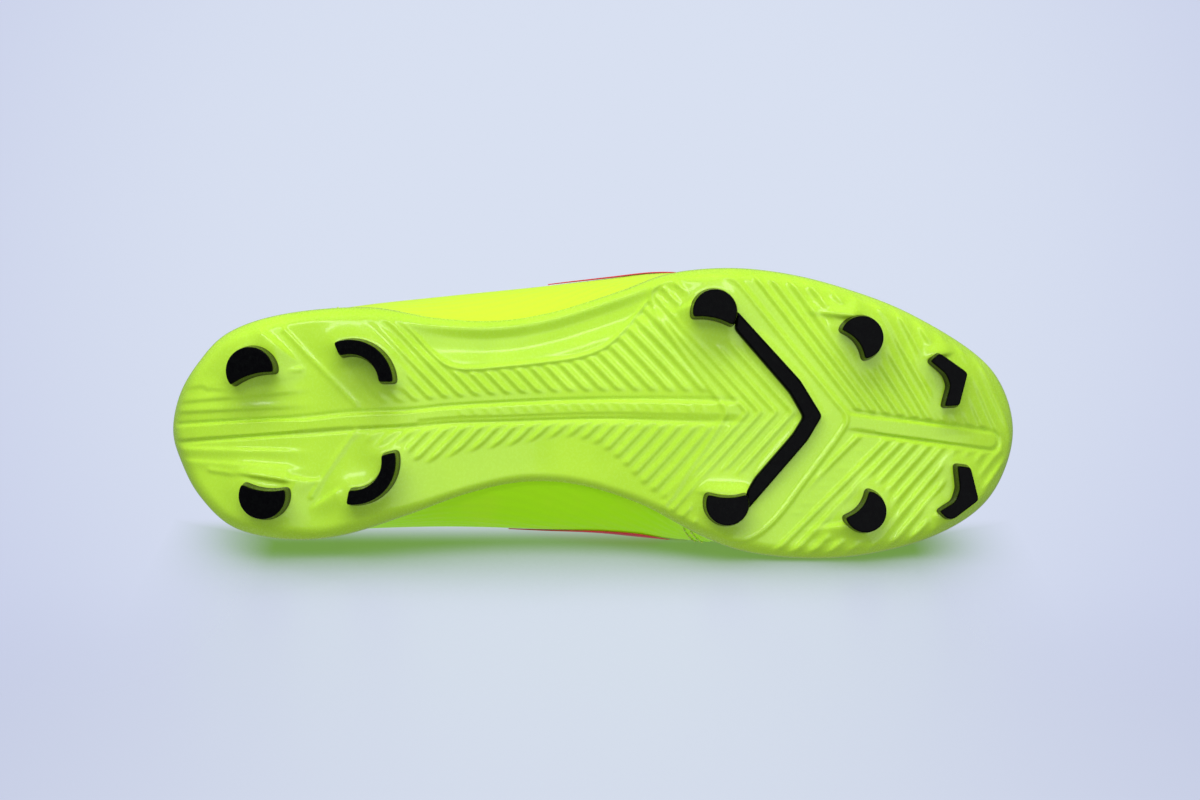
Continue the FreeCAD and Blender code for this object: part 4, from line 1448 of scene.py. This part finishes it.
def build_lights():
    """Key, fill and sheen for the sole from below, and matte light from above for the upper."""
    sole, upper = (0, 0, 0.01), (0, 0, 0.04)
    area_light("sole_key", (-0.73, 0.12, -0.47), sole, (0.9, 0.42), 6.6, glossy=False)
    area_light("sole_fill", (0.10, -0.35, -0.95), sole, (0.8, 0.8), 2.2, (0.95, 0.97, 1.0))
    area_light("sole_sheen", (-0.34, 0.05, -0.82), sole, (0.7, 0.10), 1.5)
    area_light("top_key", (-0.5, -0.5, 0.9), upper, (0.7, 0.7), 5.0, glossy=False)
    area_light("top_fill", (0.7, 0.4, 0.6), upper, (0.7, 0.7), 4.0, glossy=False)


def floor_shader(name, fade_from, fade_to, painted_shadow_colour):
    """Matte-looking pale paper seen from one side, drawn as emission with a little gloss; a painted
    shadow in a darker tinted colour darkens it where something stands close to it.
    """
    material = bpy.data.materials.new(name)
    material.use_nodes = True
    n = Nodes(material.node_tree)
    n.tree.nodes.clear()
    place = n.add("SeparateXYZ", {0: n.add("TexCoord").outputs["Object"]}).outputs
    aside = n.math("ABSOLUTE", place["Y"])
    # Painted shade: the paper darkens towards its ends.
    paper = n.mix(n.ramp(aside, 0.02, 0.24), PALE, PAINTED_EDGE_SHADE)
    # Painted shadow: ambient occlusion mixes the paper's colour towards a darker tinted colour near
    # the shoe.
    shade = n.add("AmbientOcclusion", {"Distance": 0.075}, samples=12).outputs["AO"]
    colour = n.mix(n.ramp(shade, 0.28, 0.9, kind="LINEAR"), painted_shadow_colour, paper)
    lit = n.mix_shaders(0.07, n.add("Emission", {"Color": colour}),
                        n.add("BsdfGlossy", {"Roughness": 0.35}))
    above = n.ramp(place["Z"], -0.14, 0.0)
    ends = n.ramp(aside, 0.11, 0.15, kind="LINEAR")
    past = n.math("MAXIMUM", n.math("MULTIPLY", above, ends), n.ramp(place["Z"], fade_from, fade_to))
    hide = n.math("MAXIMUM", n.add("NewGeometry").outputs["Backfacing"], past)
    seen = n.mix_shaders(hide, lit, n.add("BsdfTransparent"))
    n.add("OutputMaterial", {"Surface": seen.outputs[0]})
    return material


def stage_plane(name, corners, material):
    mesh = bpy.data.meshes.new(name)
    mesh.from_pydata(corners, [], [(0, 1, 2, 3)])
    obj = bpy.data.objects.new(name, mesh)
    bpy.context.scene.collection.objects.link(obj)
    obj.data.materials.append(material)
    for ray in ("diffuse", "glossy", "transmission", "shadow", "volume_scatter"):
        setattr(obj, "visible_" + ray, False)


SIDE_FLOOR_TILT = math.tan(math.radians(15.0))
SIDE_FLOOR_TOUCH = (0.0497, 0.014)
SIDE_FLOOR_ENDS = (-0.60, 0.16)


def build_stage():
    """Paper that the shoe lies on edge against, and the floor that it stands on."""
    def across(z):
        return SIDE_FLOOR_TOUCH[0] - (z - SIDE_FLOOR_TOUCH[1]) * SIDE_FLOOR_TILT

    near, far = SIDE_FLOOR_ENDS
    # The last colour of each floor is its painted shadow colour; on the side paper it is green, as
    # painted light thrown back by the shoe.
    stage_plane("side_paper", [(across(near), -1, near), (across(far), -1, far),
                               (across(far), 1, far), (across(near), 1, near)],
                floor_shader("side_paper", 0.03, 0.06, srgb(112, 154, 74)))
    stage_plane("standing_floor", [(-3, -3, 0), (3, -3, 0), (3, 3, 0), (-3, 3, 0)],
                floor_shader("standing_floor", 1.0, 2.0, srgb(150, 158, 176)))


bpy.context.scene.view_settings.view_transform = "Standard"
build_camera()
build_world()
build_lights()
build_stage()
build_plate()
build_studs()
build_panels()
build_stiffeners()
build_seams()
build_eyestays()
build_eyelets()
build_lace()
build_tongue()
build_collar()
build_insole()
build_accents()
for material_slot in bpy.data.objects["tongue_anchor_patch"].material_slots:
    material_slot.material = KNIT
